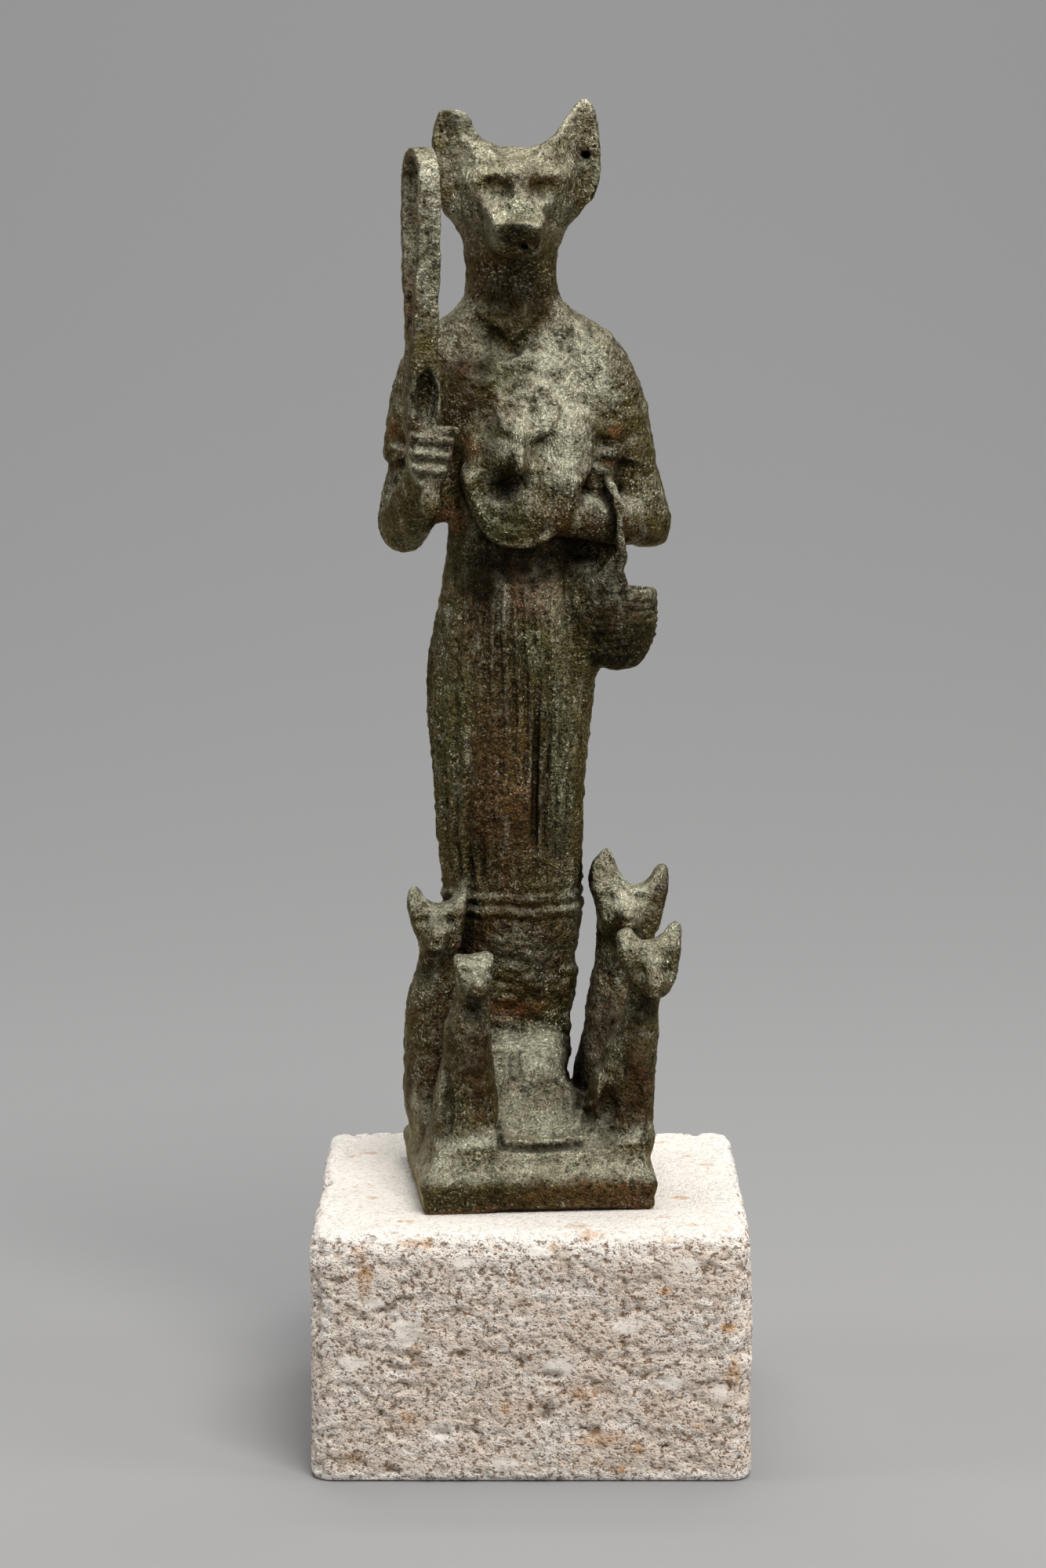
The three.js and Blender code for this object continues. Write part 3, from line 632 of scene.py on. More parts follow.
# The edge of the aegis and the breasts, in x and z.
CHEST_OUTLINE = [
    (-6.2, 77.4), (-6.8, 75.6), (-6.6, 74.0), (-6.0, 72.2), (-5.1, 70.0), (-4.2, 68.5), (-3.2, 67.6),
    (-1.8, 66.9), (-0.3, 66.7), (1.6, 66.8), (3.0, 67.3), (4.4, 68.2), (5.6, 69.5), (6.7, 71.0), (7.3, 72.5),
    (7.5, 74.0), (8.2, 75.2), (9.1, 76.6), (9.5, 78.6), (9.4, 83.0), (8.5, 86.5), (5.5, 89.2), (0.0, 89.8),
    (-4.5, 89.2), (-7.2, 86.5), (-8.0, 83.0), (-7.4, 79.6),
]


def mound(x, z, at_x, at_z, across, high):
    """A soft bump of height one."""
    return np.exp(-(((x - at_x) / across) ** 2) - ((z - at_z) / high) ** 2)


# How far forward the chest reaches along its middle, by height.
CHEST_PROFILE = [
    (64, 8.8), (66.5, 9.4), (69, 9.9), (72, 10.1), (74.5, 9.9), (77, 9.1),
    (80, 8.3), (83, 7.6), (86, 6.9), (89, 6.0), (92, 5.0),
]


def chest_front(x, z):
    """How far forward the breasts, the disc, the lioness's worn head and the collar reach."""
    front = along(CHEST_PROFILE, z)
    collar = smooth_step(77.0, 74.5, z)
    left, right = np.maximum(-0.2 - x, 0), np.maximum(x + 0.2, 0)
    front = front - (0.055 - 0.043 * collar) * left**2 - (0.022 - 0.008 * collar) * right**2
    front = front - 0.12 * np.maximum(-5 - x, 0) ** 2 * (1 - collar)
    front = front - 0.022 * right**2 * smooth_step(80.5, 85, z)
    from_disc = np.sqrt((x - 1.05) ** 2 + (z - 83.4) ** 2)
    disc_radius = 4.4
    front = front + 0.65 * smooth_step(disc_radius - 0.2, disc_radius - 1.0, from_disc)
    front = front - 0.15 * np.exp(-(((from_disc - disc_radius) / 0.5) ** 2))
    front = front + 1.3 * mound(x, z, 6.2, 80.2, 2.8, 4.8)
    # The ridge of the nose rises to the muzzle and ends above a hollow.
    aside = x - 0.35 + 0.10 * (82.5 - z)
    away = smooth_step(0.3, 2.6, np.abs(aside))
    above_end = (z - 75.4 + 2.2 * away) / (0.8 + 2.2 * away)
    height = 4.3 * smooth_step(83.8, 77.0, z) ** 1.2 * smooth_step(0, 1, above_end)
    width = np.where(aside < 0, 2.2, 0.85)
    front = front + height * np.exp(-(np.sqrt(aside**2 + 0.06) - 0.24) / width)
    shelf = 0.35 * np.exp(-(((z - 76.4) / 0.8) ** 2))
    front = front + shelf * smooth_step(0.2, 1.6, x) * smooth_step(8.0, 5.5, x)
    front = front - 0.85 * mound(x, z, 2.4, 79.0, 1.2, 1.2) - 0.5 * mound(x, z, -2.6, 79.7, 1.2, 0.9)
    front = front - 1.7 * mound(x, z, -2.1, 74.3, 2.6, 1.9) + 0.9 * mound(x, z, 5.3, 75.0, 1.8, 1.3)
    near = np.sqrt(((x + 0.4) / 7.0) ** 2 + ((z - 75.2) / 8.6) ** 2)
    rings = 0.17 * np.cos(2 * np.pi * (near * 4.3 - 0.3)) * smooth_step(0.35, 0.55, near)
    return front + rings * smooth_step(75.5, 73.0, z)


def aegis(volume):
    """A worn lioness's head with a sun disc, above a broad collar, and the breasts around it."""

    def distance(x, y, z):
        slab = np.maximum(-(y + chest_front(x, z)) * 0.75, y + 4.4)
        soft = 0.5 + 1.1 * smooth_step(75.5, 79.0, z)
        return smooth_max(outline_distance(CHEST_OUTLINE, x, z), slab, soft)

    def fillet(x, y, z):
        return 0.35 + 0.9 * smooth_step(GODDESS_PLACE[2] + 76, GODDESS_PLACE[2] + 80, z) + 0 * x

    volume.add(Form((-8.2, -14.5, 66.2), (9.8, -4.0, 90.2), distance), fillet)


def breast(volume):
    """Her right breast, beside the aegis."""
    volume.add(egg((-4.9, -3.6, 84.5), (3.6, 2.4, 6.0)), 1.4)


def neckline(volume):
    """Two worn creases that meet below the throat."""
    volume.carve([(-4.8, 93.8, 0.9, 0.6), (-2.7, 92.0, 1.0, 0.95), (-0.7, 90.0, 0.8, 0.75)], 0.7)
    volume.carve([(-0.2, 90.2, 0.6, 0.45), (2.6, 93.0, 0.7, 0.5), (4.8, 94.8, 0.7, 0.35)], 0.7)


def basket(volume):
    """A small woven basket on a strap, pressed against the dress."""
    rim, height, half = 61.4, 10.2, 4.75
    middle_x, middle_y, peak_x = 12.8, -3.0, 12.3

    def distance(x, y, z):
        u, v, w = x - middle_x, (y - middle_y) * half / 4.1, z - rim
        down = np.clip(-w / height, 0, 1)
        swelling = half * (1 - down**3.4) ** (1 / 2.2)
        near = np.sqrt(u * u + v * v)
        angle = np.arctan2(v, u)
        row = w / 0.98 + 0.10 * np.sin(5 * angle) + 0.05 * np.sin(11 * angle + 1)
        worn = 0.65 + 0.35 * np.sin(3 * angle + 0.9 * w)
        weave = (0.14 * np.cos(2 * np.pi * row) + 0.09 * np.cos(19 * angle + np.pi * np.floor(row))) * worn
        side = (near - swelling) * 0.8 - weave * smooth_step(0.96, 0.75, down) * smooth_step(1.5, 0.0, w)
        left = 1.5 + 3.2 * smooth_step(9.2, peak_x, x)
        right = 4.6 * np.exp(-(((x - peak_x) / 0.9) ** 2)) - 0.02 * u
        top = w - np.where(x < peak_x, left, right) * (y < middle_y + 1.0)
        body = smooth_max(smooth_max(side, top, 0.35), -w - height, 1.0)
        hollow = smooth_max(near - (half - 0.95), -w - 1.4, 0.5)
        return smooth_max(body, -hollow, 0.25)

    form = Form((7.8, -7.6, 50.9), (17.9, 1.6, 66.4), distance)
    volume.add(egg((8.4, -2.2, 57.0), (2.9, 3.1, 8.0)), 1.4)
    volume.add(form, 1.0)
    band = limb(
        [
            (12.8, -6.5, 65.0, 0.7), (12.5, -7.2, 67.4, 0.52), (12.3, -7.7, 69.8, 0.46),
            (12.0, -7.7, 72.2, 0.46), (11.4, -6.6, 73.9, 0.6), (10.7, -4.2, 74.9, 0.8),
            (11.2, -1.2, 73.8, 0.8), (12.3, 0.1, 68, 0.8), (13.2, 0.2, 60.8, 0.9),
        ]
    )
    volume.add(band, 0.4)


# The edges of the ears in x and z.
WHOLE_EAR = [
    (2.6, 112.4), (3.6, 114.0), (4.2, 114.5), (5.0, 115.7), (5.95, 117.1), (6.95, 118.5), (7.75, 119.7),
    (8.45, 120.35), (9.3, 120.4), (9.95, 119.7), (10.3, 118.5), (10.55, 116.6), (10.7, 114.3), (10.7, 112.0),
    (10.45, 110.1), (9.85, 108.5), (8.75, 107.5), (7.3, 106.4), (4.5, 105.5),
]
BROKEN_EAR = [
    (-2.6, 112.4), (-3.0, 114.5), (-3.95, 115.1), (-4.3, 115.9), (-4.75, 116.9), (-5.15, 117.9),
    (-5.9, 118.85), (-7.2, 119.0), (-8.6, 118.95), (-9.05, 118.2), (-9.4, 116.6), (-9.6, 115.2),
    (-9.35, 113.0), (-9.2, 111.0), (-8.9, 108.2), (-7.8, 106.7), (-4.5, 105.5),
]


def ears(volume):
    """Upright cups. The one on the -X side has lost its tip."""

    def middle(side, lean):
        def at(x, z):
            across = np.clip((side * x - 8.0) / 2.6, -1.2, 1.2)
            return -1.5 + 0.22 * (side * x - 7) + 1.0 * (1 - across**2) + lean * (z - 112)

        return at

    whole = cushion(
        WHOLE_EAR, middle(1, 0.10), lambda x, z: 1.5 - 0.10 * np.clip(z - 110, 0, 10) + 0 * x, 0.9, -0.05
    )
    broken = cushion(
        BROKEN_EAR, middle(-1, 0.06), lambda x, z: 1.6 - 0.05 * np.clip(z - 110, 0, 10) + 0 * x, 0.6, -0.05
    )
    broken = broken.within(half_space((-7.0, -1.6, 117.4), (0.05, -0.86, 0.5)), 0.2)
    volume.add(whole, 2.0)
    volume.add(broken, 2.0)
    volume.carve([(8.7, 114.3, 1.1, 0.2), (8.9, 113.2, 1.2, 0.25)], 0.5)
    volume.carve([(8.95, 113.6, 0.45, 0.5), (8.85, 113.55, 0.42, 1.4)], 0.15)
    volume.carve([(8.35, 113.75, 0.35, 0.35), (9.4, 113.5, 0.3, 0.25)], 0.2)


# The middle of the face in x.
FACE_X = 0.45


def skull():
    """The skull with a ridge of brows and a sloping forehead."""
    x0 = FACE_X
    whole = column(
        [
            (97, 0, 5.3, 0, 5), (100, 0.05, 5.25, -0.2, 5.0), (102, 0.05, 5.4, -0.4, 5.2),
            (104, 0.05, 6.2, -0.5, 5.8), (106.4, 0.0, 7.3, -0.5, 6.4), (108.5, 0.2, 7.7, -0.4, 6.7),
            (110.5, 0.3, 7.5, -0.2, 6.6), (112.6, 0.4, 6.8, 0.4, 6.0), (114.35, 0.5, 5.6, 0.8, 4.8),
        ],
        k=0.8,
    )
    brow = limb(
        [
            (x0 - 5.3, -4.8, 109.8, 0.8), (x0 - 3.4, -5.9, 110.8, 1.0), (x0 - 1.0, -6.4, 110.9, 1.0),
            (x0 + 1.0, -6.4, 110.9, 1.0), (x0 + 3.4, -5.9, 111.2, 1.0), (x0 + 5.4, -4.8, 110.6, 0.8),
        ]
    )
    return joined([whole, brow], 1.4).within(half_space((x0, -6.95, 111.35), (0, -0.47, 0.88)), 0.7)


def muzzle():
    """A square muzzle with worn lips and a hollow below them, turned a little to -X."""
    x0 = FACE_X
    bridge = limb([(x0 - 0.1, -5.8, 111.2, 1.7), (x0 - 0.1, -7.5, 108.6, 1.8), (x0, -9.0, 106.9, 1.7)], 0.5)
    nose_z, nose_y = 105.2, -12.65
    sides = [((x0 + s * 2.85, -12.5, nose_z), (s, -0.17, -0.25)) for s in (-1, 1)]
    roofs = [((x0, nose_y, nose_z + 0.1), (s * 0.16, -0.625, 0.77)) for s in (-1, 1)]
    wedge = solid_of(
        [
            *sides, *roofs, ((x0, nose_y - 0.1, nose_z), (0, -0.89, -0.455)),
            ((x0 + 0.5, -11, 100.9), (0.36, 0.05, -1)), ((x0 + 0.5, -11, 100.9), (-0.30, 0.05, -1)),
            ((x0, -2, 105), (0, 1, 0)),
        ],
        (x0 - 5.6, -13.6, 99.0),
        (x0 + 5.6, -2, 112.5),
        0.8,
    )
    chin_hollow = egg((x0 - 0.9, -13.2, 103.2), (1.8, 1.2, 1.4))
    nose_lumps = [
        egg((x0 - 2.1, -12.2, 105.1), (0.8, 0.6, 0.42)), egg((x0 + 0.3, -12.5, 105.15), (1.0, 0.5, 0.42)),
        egg((x0 + 2.2, -12.2, 104.8), (0.7, 0.6, 0.4)),
    ]
    worn = joined([wedge.without(chin_hollow, 0.8), *nose_lumps], 0.5)
    return joined([worn, bridge], 1.0).turned(-4.0, (x0, 0.0))


def face(volume):
    """Shallow sockets, the corners of the eyes, and the lines of the mouth and a cheek."""
    x0 = FACE_X
    for path, k in (
        ([(x0 - 4.9, 109.3, 1.1, 0.25), (x0 - 3.5, 109.6, 1.4, 0.42), (x0 - 2.2, 109.2, 0.9, 0.38)], 1.0),
        ([(x0 + 2.3, 109.3, 1.0, 0.3), (x0 + 3.3, 109.4, 1.2, 0.42)], 1.0),
        ([(x0 - 3.8, 110.1, 0.5, 0.2), (x0 - 2.0, 109.7, 0.5, 0.22)], 0.4),
        ([(x0 - 3.2, 108.9, 0.3, 0.2), (x0 - 1.5, 108.7, 0.32, 0.3)], 0.25),
        ([(x0 + 0.1 - 0.5, 104.6, 0.35, 0.2), (x0 + 0.1 - 0.5, 102.9, 0.4, 0.2)], 0.4),
        ([(x0 - 2.6, 103.2, 0.4, 0.25), (x0 - 0.4, 102.6, 0.35, 0.3), (x0 + 2.6, 103.1, 0.35, 0.3)], 0.4),
        ([(x0 + 3.2, 107.0, 0.9, 0.25), (x0 + 3.9, 105.4, 0.9, 0.25)], 0.8),
    ):
        volume.carve(path, k)
    volume.raise_ridge([(x0 - 2.7, 109.15, 0.25, 0.22), (x0 - 1.8, 109.15, 0.25, 0.22)], 0.15)


def head(volume):
    """The cat's head with its ears and face, and two low lumps on the crown."""
    volume.add(skull(), 1.2)
    volume.add(muzzle(), 1.6)
    volume.add(egg((-0.4, 0.6, 113.95), (1.9, 2.2, 0.5)), 0.8)
    volume.add(egg((2.7, 0.6, 113.75), (1.4, 2.0, 0.5)), 0.8)
    ears(volume)
    face(volume)


def feet(volume):
    """Both feet are one sloping mass, in which only a few toes of her right foot can be made out."""
    for side in (-1, 1):
        foot = limb(
            [
                (side * 3.1, 0.5, 3.0, 3.6), (side * 3.1, -3.4, 2.9, 3.3), (side * 3.1, -6.2, 2.0, 2.5),
                (side * 3.0, -8.0, 1.3, 1.7),
            ]
        )
        volume.add(foot, 1.8)
    volume.add(egg((0, -4.0, 2.6), (3.0, 3.6, 2.9)), 1.8)
    for z in (4.6, 3.9, 3.2):
        volume.carve([(-2.7, z, 0.28, 0.32), (-0.7, z - 0.1, 0.25, 0.25)], 0.2)
    volume.carve([(-0.2, 4.6, 0.5, 0.25), (-0.4, 2.6, 0.6, 0.3)], 0.6)


# The base and the kittens, in the casting's own frame


# How far the sides of the plate and its tier stand in from the plate's widest, by height.
PLATE_INSET = [
    (0, 0.25), (0.3, 0.05), (1.2, 0), (PLATE_TOP - 0.4, 0),
    (PLATE_TOP, 0.35), (5.3, 1.0), (6.2, 1.5), (TIER_TOP, 1.95),
]


def plate(volume):
    """The plate with its stepped tier, whose underside is a little warped at the front."""
    x, y = PLATE_HALF
    corner = 0.9

    def distance(px, py, pz):
        # The tier's sides are hollow.
        inset = along(PLATE_INSET, pz)
        half_x, half_y = x - inset - corner, y - inset - corner
        flat = round_corner(np.abs(px) - half_x, np.abs(py) - half_y, corner)
        warp = 0.42 * smooth_step(-9, -3, px) * smooth_step(13.8, 8, px) * smooth_step(-6, -13.5, py)
        d = smooth_max(flat, pz - TIER_TOP, 0.5)
        return smooth_max(d, warp - pz, 0.25)

    volume.add(Form((-x, -y, 0), (x, y, TIER_TOP), distance), 0.4)
    volume.carve([(12.9, 1.7, 0.4, 0.35), (13.1, 1.5, 0.35, 0.3)], 0.2)


# The footing from front to back: its height along the middle and its half width, each by y.
FOOTING_TOP = [
    (-13.2, 7.2), (-12.9, 7.5), (-12.3, 8.4), (-11.5, 8.4), (-10.4, 8.65), (-9.0, 9.35), (-7.6, 10.5),
    (-6.2, 11.9), (-5.2, 13.0), (-4.3, 13.8), (-2.5, 14.2), (1, 13.6), (6, 13.0), (12.6, 12.4),
]
FOOTING_HALF = [(-13, 7.6), (-9, 8.4), (-5, 9.4), (-1, 10.0), (5, 9.5), (13, 8.8)]


def footing(volume):
    """The hump under the goddess, which runs down to the front as a smooth hollow apron."""

    def distance(x, y, z):
        top, half = along(FOOTING_TOP, y), along(FOOTING_HALF, y)
        u = np.abs(x + 0.5) / half
        # The apron is hollow across and climbs a little towards the kittens.
        crown = top + 0.9 * np.clip(u, 0, 1) ** 3 * smooth_step(-2, -7, y)
        crown = crown - 1.0 * np.clip(u, 0, 1.2) ** 2 * smooth_step(-7, -2, y)
        crown = crown - 2.2 * smooth_step(3.2, 7.2, x) * smooth_step(-10, -6, y)
        crown = crown - 0.55 * mound(x, y, 1.0, -9.6, 3.6, 2.2)
        d = (z - crown) * 0.75
        d = smooth_max(d, (u - 1) * 7.5, 1.6)
        d = smooth_max(d, -y - 13.1, 0.8)
        d = smooth_max(d, y - 13.0, 1.5)
        return smooth_max(d, 2.5 - z, 0.3)

    volume.add(Form((-10.9, -13.2, 2.5), (9.9, 13.2, 15.2), distance), 1.4)


def apron_rim(volume):
    """The raised rim around the hollow of the apron, with a groove below it."""
    rim = [
        (-4.3, 10.6), (-4.1, 9.3), (-3.0, 8.6), (0.8, 8.4), (4.2, 8.7), (5.6, 9.5), (6.3, 10.6), (6.8, 11.8),
    ]
    volume.raise_ridge([(x, z, 0.4, 0.16) for x, z in rim], 0.4)
    volume.carve([(-4.0, 7.8, 0.4, 0.3), (0.6, 7.55, 0.5, 0.45), (5.0, 7.9, 0.4, 0.3)], 0.4)
    volume.carve([(-4.7, 9.8, 0.3, 0.3), (-4.5, 7.7, 0.35, 0.35)], 0.3)


# Each kitten has its size, the y of its seat's middle, its forelegs' x and half width, its haunch and muzzle
# in x and z, the y of its head, the height and backward lean of its ears, the size of the pit beside its
# forelegs, how dark its front is painted, as painted shade, and how pale its face is, from wear and a painted
# highlight. The body's rows are height, least x and greatest x, and the head is an outline in x and z.
FRONT_LEFT = dict(
    size=0.95, y=-6.8, legs=(-7.5, 2.2), haunch=(-10.9, 11.2), muzzle=(-7.1, 26.9), head_y=-9.0,
    ears_from=29.3, ear_lean=0.16, pit=0.3, shaded=0.85, worn=0.3,
    body=[
        (5.5, -12.8, -4.2), (8, -12.4, -4.6), (10.8, -12.2, -4.75), (14.7, -11.6, -4.8), (18.6, -11.0, -5.0),
        (21.7, -10.9, -5.2), (23.4, -10.2, -5.4), (25, -9.6, -5.6), (28, -9.3, -5.7),
    ],
    head=[
        (-9.75, 29.9), (-9.6, 28.3), (-9.45, 27.0), (-9.1, 25.6), (-8.3, 24.9), (-6.6, 24.9), (-5.8, 26.0),
        (-5.3, 27.7), (-5.05, 29.2), (-5.05, 30.1), (-5.6, 30.75), (-6.1, 30.8), (-6.9, 30.5), (-8.1, 30.25),
        (-9.0, 30.45), (-9.5, 30.4),
    ],
)
FRONT_RIGHT = dict(
    size=1.0, y=-6.8, legs=(12.0, 2.3), haunch=(8.1, 11.4), muzzle=(14.2, 26.6), head_y=-9.2,
    ears_from=31.0, ear_lean=0.16, pit=1.0, shaded=0.7, worn=0.05,
    body=[
        (5.5, 6.2, 13.8), (8.4, 6.5, 13.6), (10.4, 6.6, 14.0), (12.3, 6.8, 14.3), (14.3, 7.3, 14.5),
        (16.2, 7.8, 14.7), (18.2, 8.6, 15.0), (20.1, 9.5, 15.1), (22, 10.4, 15.1), (24.5, 11.3, 15.2),
        (28, 11.6, 15.4),
    ],
    head=[
        (9.95, 32.0), (10.1, 30.3), (10.4, 28.9), (11.2, 27.3), (11.9, 26.4), (12.8, 25.7), (13.8, 25.0),
        (15.0, 25.0), (15.6, 25.5), (16.3, 26.2), (16.9, 27.3), (17.2, 28.7), (17.5, 30.5), (17.6, 31.6),
        (17.8, 32.9), (17.8, 33.7), (17.3, 34.0), (16.8, 33.9), (16.1, 33.2), (15.2, 32.2), (14.4, 31.8),
        (13.3, 31.6), (12.6, 31.9), (12.1, 32.5), (11.7, 33.1), (11.1, 33.3), (10.4, 33.0), (10.0, 32.6),
    ],
)
BACK_LEFT = dict(
    size=1.1, y=5.0, legs=(-11.0, 2.3), haunch=(-13.2, 12.0), muzzle=(-11.3, 30.7), head_y=0.5,
    ears_from=34.0, ear_lean=0.0, pit=0.0, shaded=0.65, worn=0.35,
    body=[
        (5.5, -14.0, -7.0), (7.9, -14.2, -7.1), (9.9, -14.45, -7.2), (13.9, -14.65, -7.4), (18, -14.85, -7.6),
        (21.9, -14.7, -7.8), (23.8, -14.3, -8.0), (25.8, -13.7, -8.2), (28.3, -13.2, -8.3), (31, -13.0, -8.4),
    ],
    head=[
        (-14.7, 35.0), (-14.6, 33.7), (-14.0, 31.8), (-13.3, 29.9), (-12.4, 28.4), (-11.0, 27.9),
        (-9.4, 28.4), (-8.3, 29.6), (-7.9, 31.8), (-7.6, 33.8), (-7.4, 35.7), (-7.45, 36.8), (-7.85, 36.9),
        (-8.3, 35.7), (-9.1, 35.1), (-10.5, 34.6), (-11.4, 34.6), (-12.1, 35.0), (-12.7, 35.7),
        (-13.35, 36.8), (-13.8, 37.1), (-14.5, 36.4),
    ],
)
BACK_RIGHT = dict(
    size=1.15, y=4.8, legs=(11.4, 2.6), haunch=(8.6, 13.0), muzzle=(12.2, 33.2), head_y=2.2,
    ears_from=36.0, ear_lean=0.16, pit=0.0, shaded=0.1, worn=0.6,
    body=[
        (5.5, 6.2, 13.6), (8, 6.3, 13.5), (11.9, 6.4, 13.5), (13.4, 6.6, 13.6), (15.4, 7.05, 13.8),
        (17.4, 7.5, 14.1), (19.4, 7.8, 14.4), (21.4, 8.0, 14.8), (23.4, 8.2, 15.2), (25.4, 8.6, 15.6),
        (26.8, 8.9, 15.9), (28.3, 9.0, 16.1), (32, 9.1, 16.2),
    ],
    head=[
        (8.1, 37.6), (8.25, 36.3), (8.7, 35.0), (9.0, 33.5), (9.3, 31.5), (10.6, 30.0), (12.8, 29.4),
        (15.2, 29.8), (16.3, 31.4), (16.7, 32.8), (17.2, 34.5), (17.6, 36.1), (17.8, 37.3), (17.8, 38.3),
        (17.4, 39.0), (16.95, 39.15), (16.4, 38.8), (15.75, 37.6), (15.0, 36.8), (14.2, 36.5), (13.4, 36.5),
        (12.7, 37.0), (11.8, 38.0), (11.15, 39.4), (10.8, 40.7), (10.3, 41.2), (9.9, 41.0), (9.0, 40.0),
        (8.4, 39.4),
    ],
)

KITTENS = (FRONT_LEFT, FRONT_RIGHT, BACK_LEFT, BACK_RIGHT)


def sockets(cat):
    """The x and z of a kitten's two eye sockets."""
    x, z = cat["muzzle"]
    return [(x + side * 1.5 * cat["size"], z + 1.9 * cat["size"]) for side in (-1, 1)]


def kitten_body(cat, forward):
    """The upright body, whose top leans forward to the head."""
    size, seat, neck = cat["size"], cat["y"], cat["body"][-2][0]
    rows = []
    for z, least, greatest in cat["body"]:
        up = min(max((z - TIER_TOP) / (neck - TIER_TOP), 0), 1.15)
        front = -5.0 + 2.3 * min(up, 1)
        back = 5.2 - 3.4 * min(up, 1) ** 0.8
        middle_y = seat + size * (front + back) / 2 - 0.8 * forward * up**2
        half_depth = size * (back - front) / 2
        rows.append((z, (least + greatest) / 2, (greatest - least) / 2, middle_y, half_depth))
    return column(rows, power=2.4, k=0.8)


def kitten_seat(cat, forward):
    """The body with its forelegs, haunches and tail, and the pit between the forelegs and a haunch."""
    size, seat = cat["size"], cat["y"]
    neck, neck_least, neck_greatest = cat["body"][-2]
    legs_x, legs_half = cat["legs"]
    lean = (neck_least + neck_greatest) / 2 - legs_x
    legs = limb([
        (legs_x + 0.7 * lean, seat - 2.2 * size - 0.6 * forward, neck - 2.5, 1.3 * size),
        (legs_x + 0.3 * lean, seat - 3.4 * size, 0.5 * (neck + TIER_TOP), legs_half * 0.95),
        (legs_x, seat - 3.6 * size, TIER_TOP + 4.0, legs_half),
        (legs_x, seat - 3.9 * size, TIER_TOP + 0.5, legs_half * 1.08),
    ])
    haunch_x, haunch_z = cat["haunch"]
    outer_x = min(2 * legs_x - haunch_x - 1.2, cat["body"][2][2] - 1.35 * size)
    haunch = egg((haunch_x + 0.3, seat - 1.0 * size, haunch_z - 0.5), (1.5 * size, 3.5 * size, 4.6 * size))
    other = egg((outer_x, seat - 0.5, haunch_z), (1.4 * size, 3.6 * size, 4.4 * size))
    tail = limb([
        (legs_x - 1.0, seat + 5.0 * size, TIER_TOP + 0.7, 0.85 * size),
        (legs_x + 0.8, seat + 4.4 * size, TIER_TOP + 0.6, 0.85 * size),
        (outer_x + 0.5, seat + 1.5 * size, TIER_TOP + 0.5, 0.7 * size),
    ])
    whole = joined([kitten_body(cat, forward), legs, haunch, other, tail], 1.2)
    if cat["pit"] > 0:
        pit_x = 0.5 * (legs_x - legs_half) + 0.5 * haunch_x - 0.4
        reach = 0.5 + 0.5 * cat["pit"]
        pit = limb([
            (pit_x + 0.2, seat - 4.0 * size, TIER_TOP + 6.8, 0.4 * reach),
            (pit_x, seat - 4.3 * size, TIER_TOP + 4.8, 1.0 * reach),
            (pit_x - 0.1, seat - 4.7 * size, TIER_TOP + 3.2, 0.6 * reach),
        ])
        whole = whole.without(pit, 0.6)
    return whole


def kitten_head(cat, forward):
    """A keeled wedge with ears, cut to its outline in x and z."""
    size, head_y, outline = cat["size"], cat["head_y"], cat["head"]
    ears_from, lean = cat["ears_from"], cat["ear_lean"]
    muzzle_x, muzzle_z = cat["muzzle"]
    lift = 0.175 * forward
    xs, zs = [x for x, _ in outline], [z for _, z in outline]
    lowest, tips = min(zs), max(zs)

    def front(x, level):
        rise = smooth_step(ears_from + 0.8, muzzle_z + 0.2, level)
        drop = smooth_step(muzzle_z - 1.5 * size, muzzle_z - 0.7 * size, level)
        keel = 2.5 * size * rise**1.3 * drop * np.exp(-(((x - muzzle_x) / (1.35 * size)) ** 2))
        thin = 1 - 0.72 * smooth_step(ears_from - 0.6, tips, level)
        jaw = 0.5 + 0.5 * smooth_step(lowest - 0.6, muzzle_z - 0.4, level)
        eyes = sum(0.6 * size * mound(x, level, *socket, 0.7, 0.5) for socket in sockets(cat))
        nose = 0.3 * mound(x, level, muzzle_x, muzzle_z - 0.25, 0.7, 0.35)
        return head_y - 1.9 * size * thin * jaw - keel + eyes + nose + lean * (level - ears_from)

    def distance(x, y, z):
        level = z - lift
        thin = 1 - 0.6 * smooth_step(ears_from - 1.0, tips, level)
        ahead = (front(x, level) - y) * 0.8
        behind = y - head_y - 2.2 * size * thin - lean * (level - ears_from)
        flat = outline_distance(outline, x, level) - 0.05
        return smooth_max(flat, smooth_max(ahead, behind, 0.6), 0.9)

    low = (min(xs) - 0.3, head_y - 5.0 * size, lowest - 0.3)
    high = (max(xs) + 0.3, head_y + 4.0 * size, tips + lift + 0.4)
    return Form(low, high, distance)


def kitten(cat):
    """A sitting kitten whose head leans forward of its seat."""
    forward = cat["y"] - 1.3 * cat["size"] - cat["head_y"]
    return joined([kitten_seat(cat, forward), kitten_head(cat, forward)], 0.8)


def foreleg_groove(volume, cat):
    """The groove between a kitten's forelegs."""
    x = cat["legs"][0]
    stations = [(x + 0.1, 9.0, 0.5, 0.2), (x + 0.1, 5.0, 0.6, 0.3), (x, 2.0, 0.5, 0.28)]
    volume.carve([(x, TIER_TOP + up, radius, depth) for x, up, radius, depth in stations], 0.6)


def roots(x, y, z):
    """Broad fillets where the kittens grow out of the base, and tight ones higher up."""
    return 0.9 + 1.7 * smooth_step(TIER_TOP + 4.5, TIER_TOP, z)


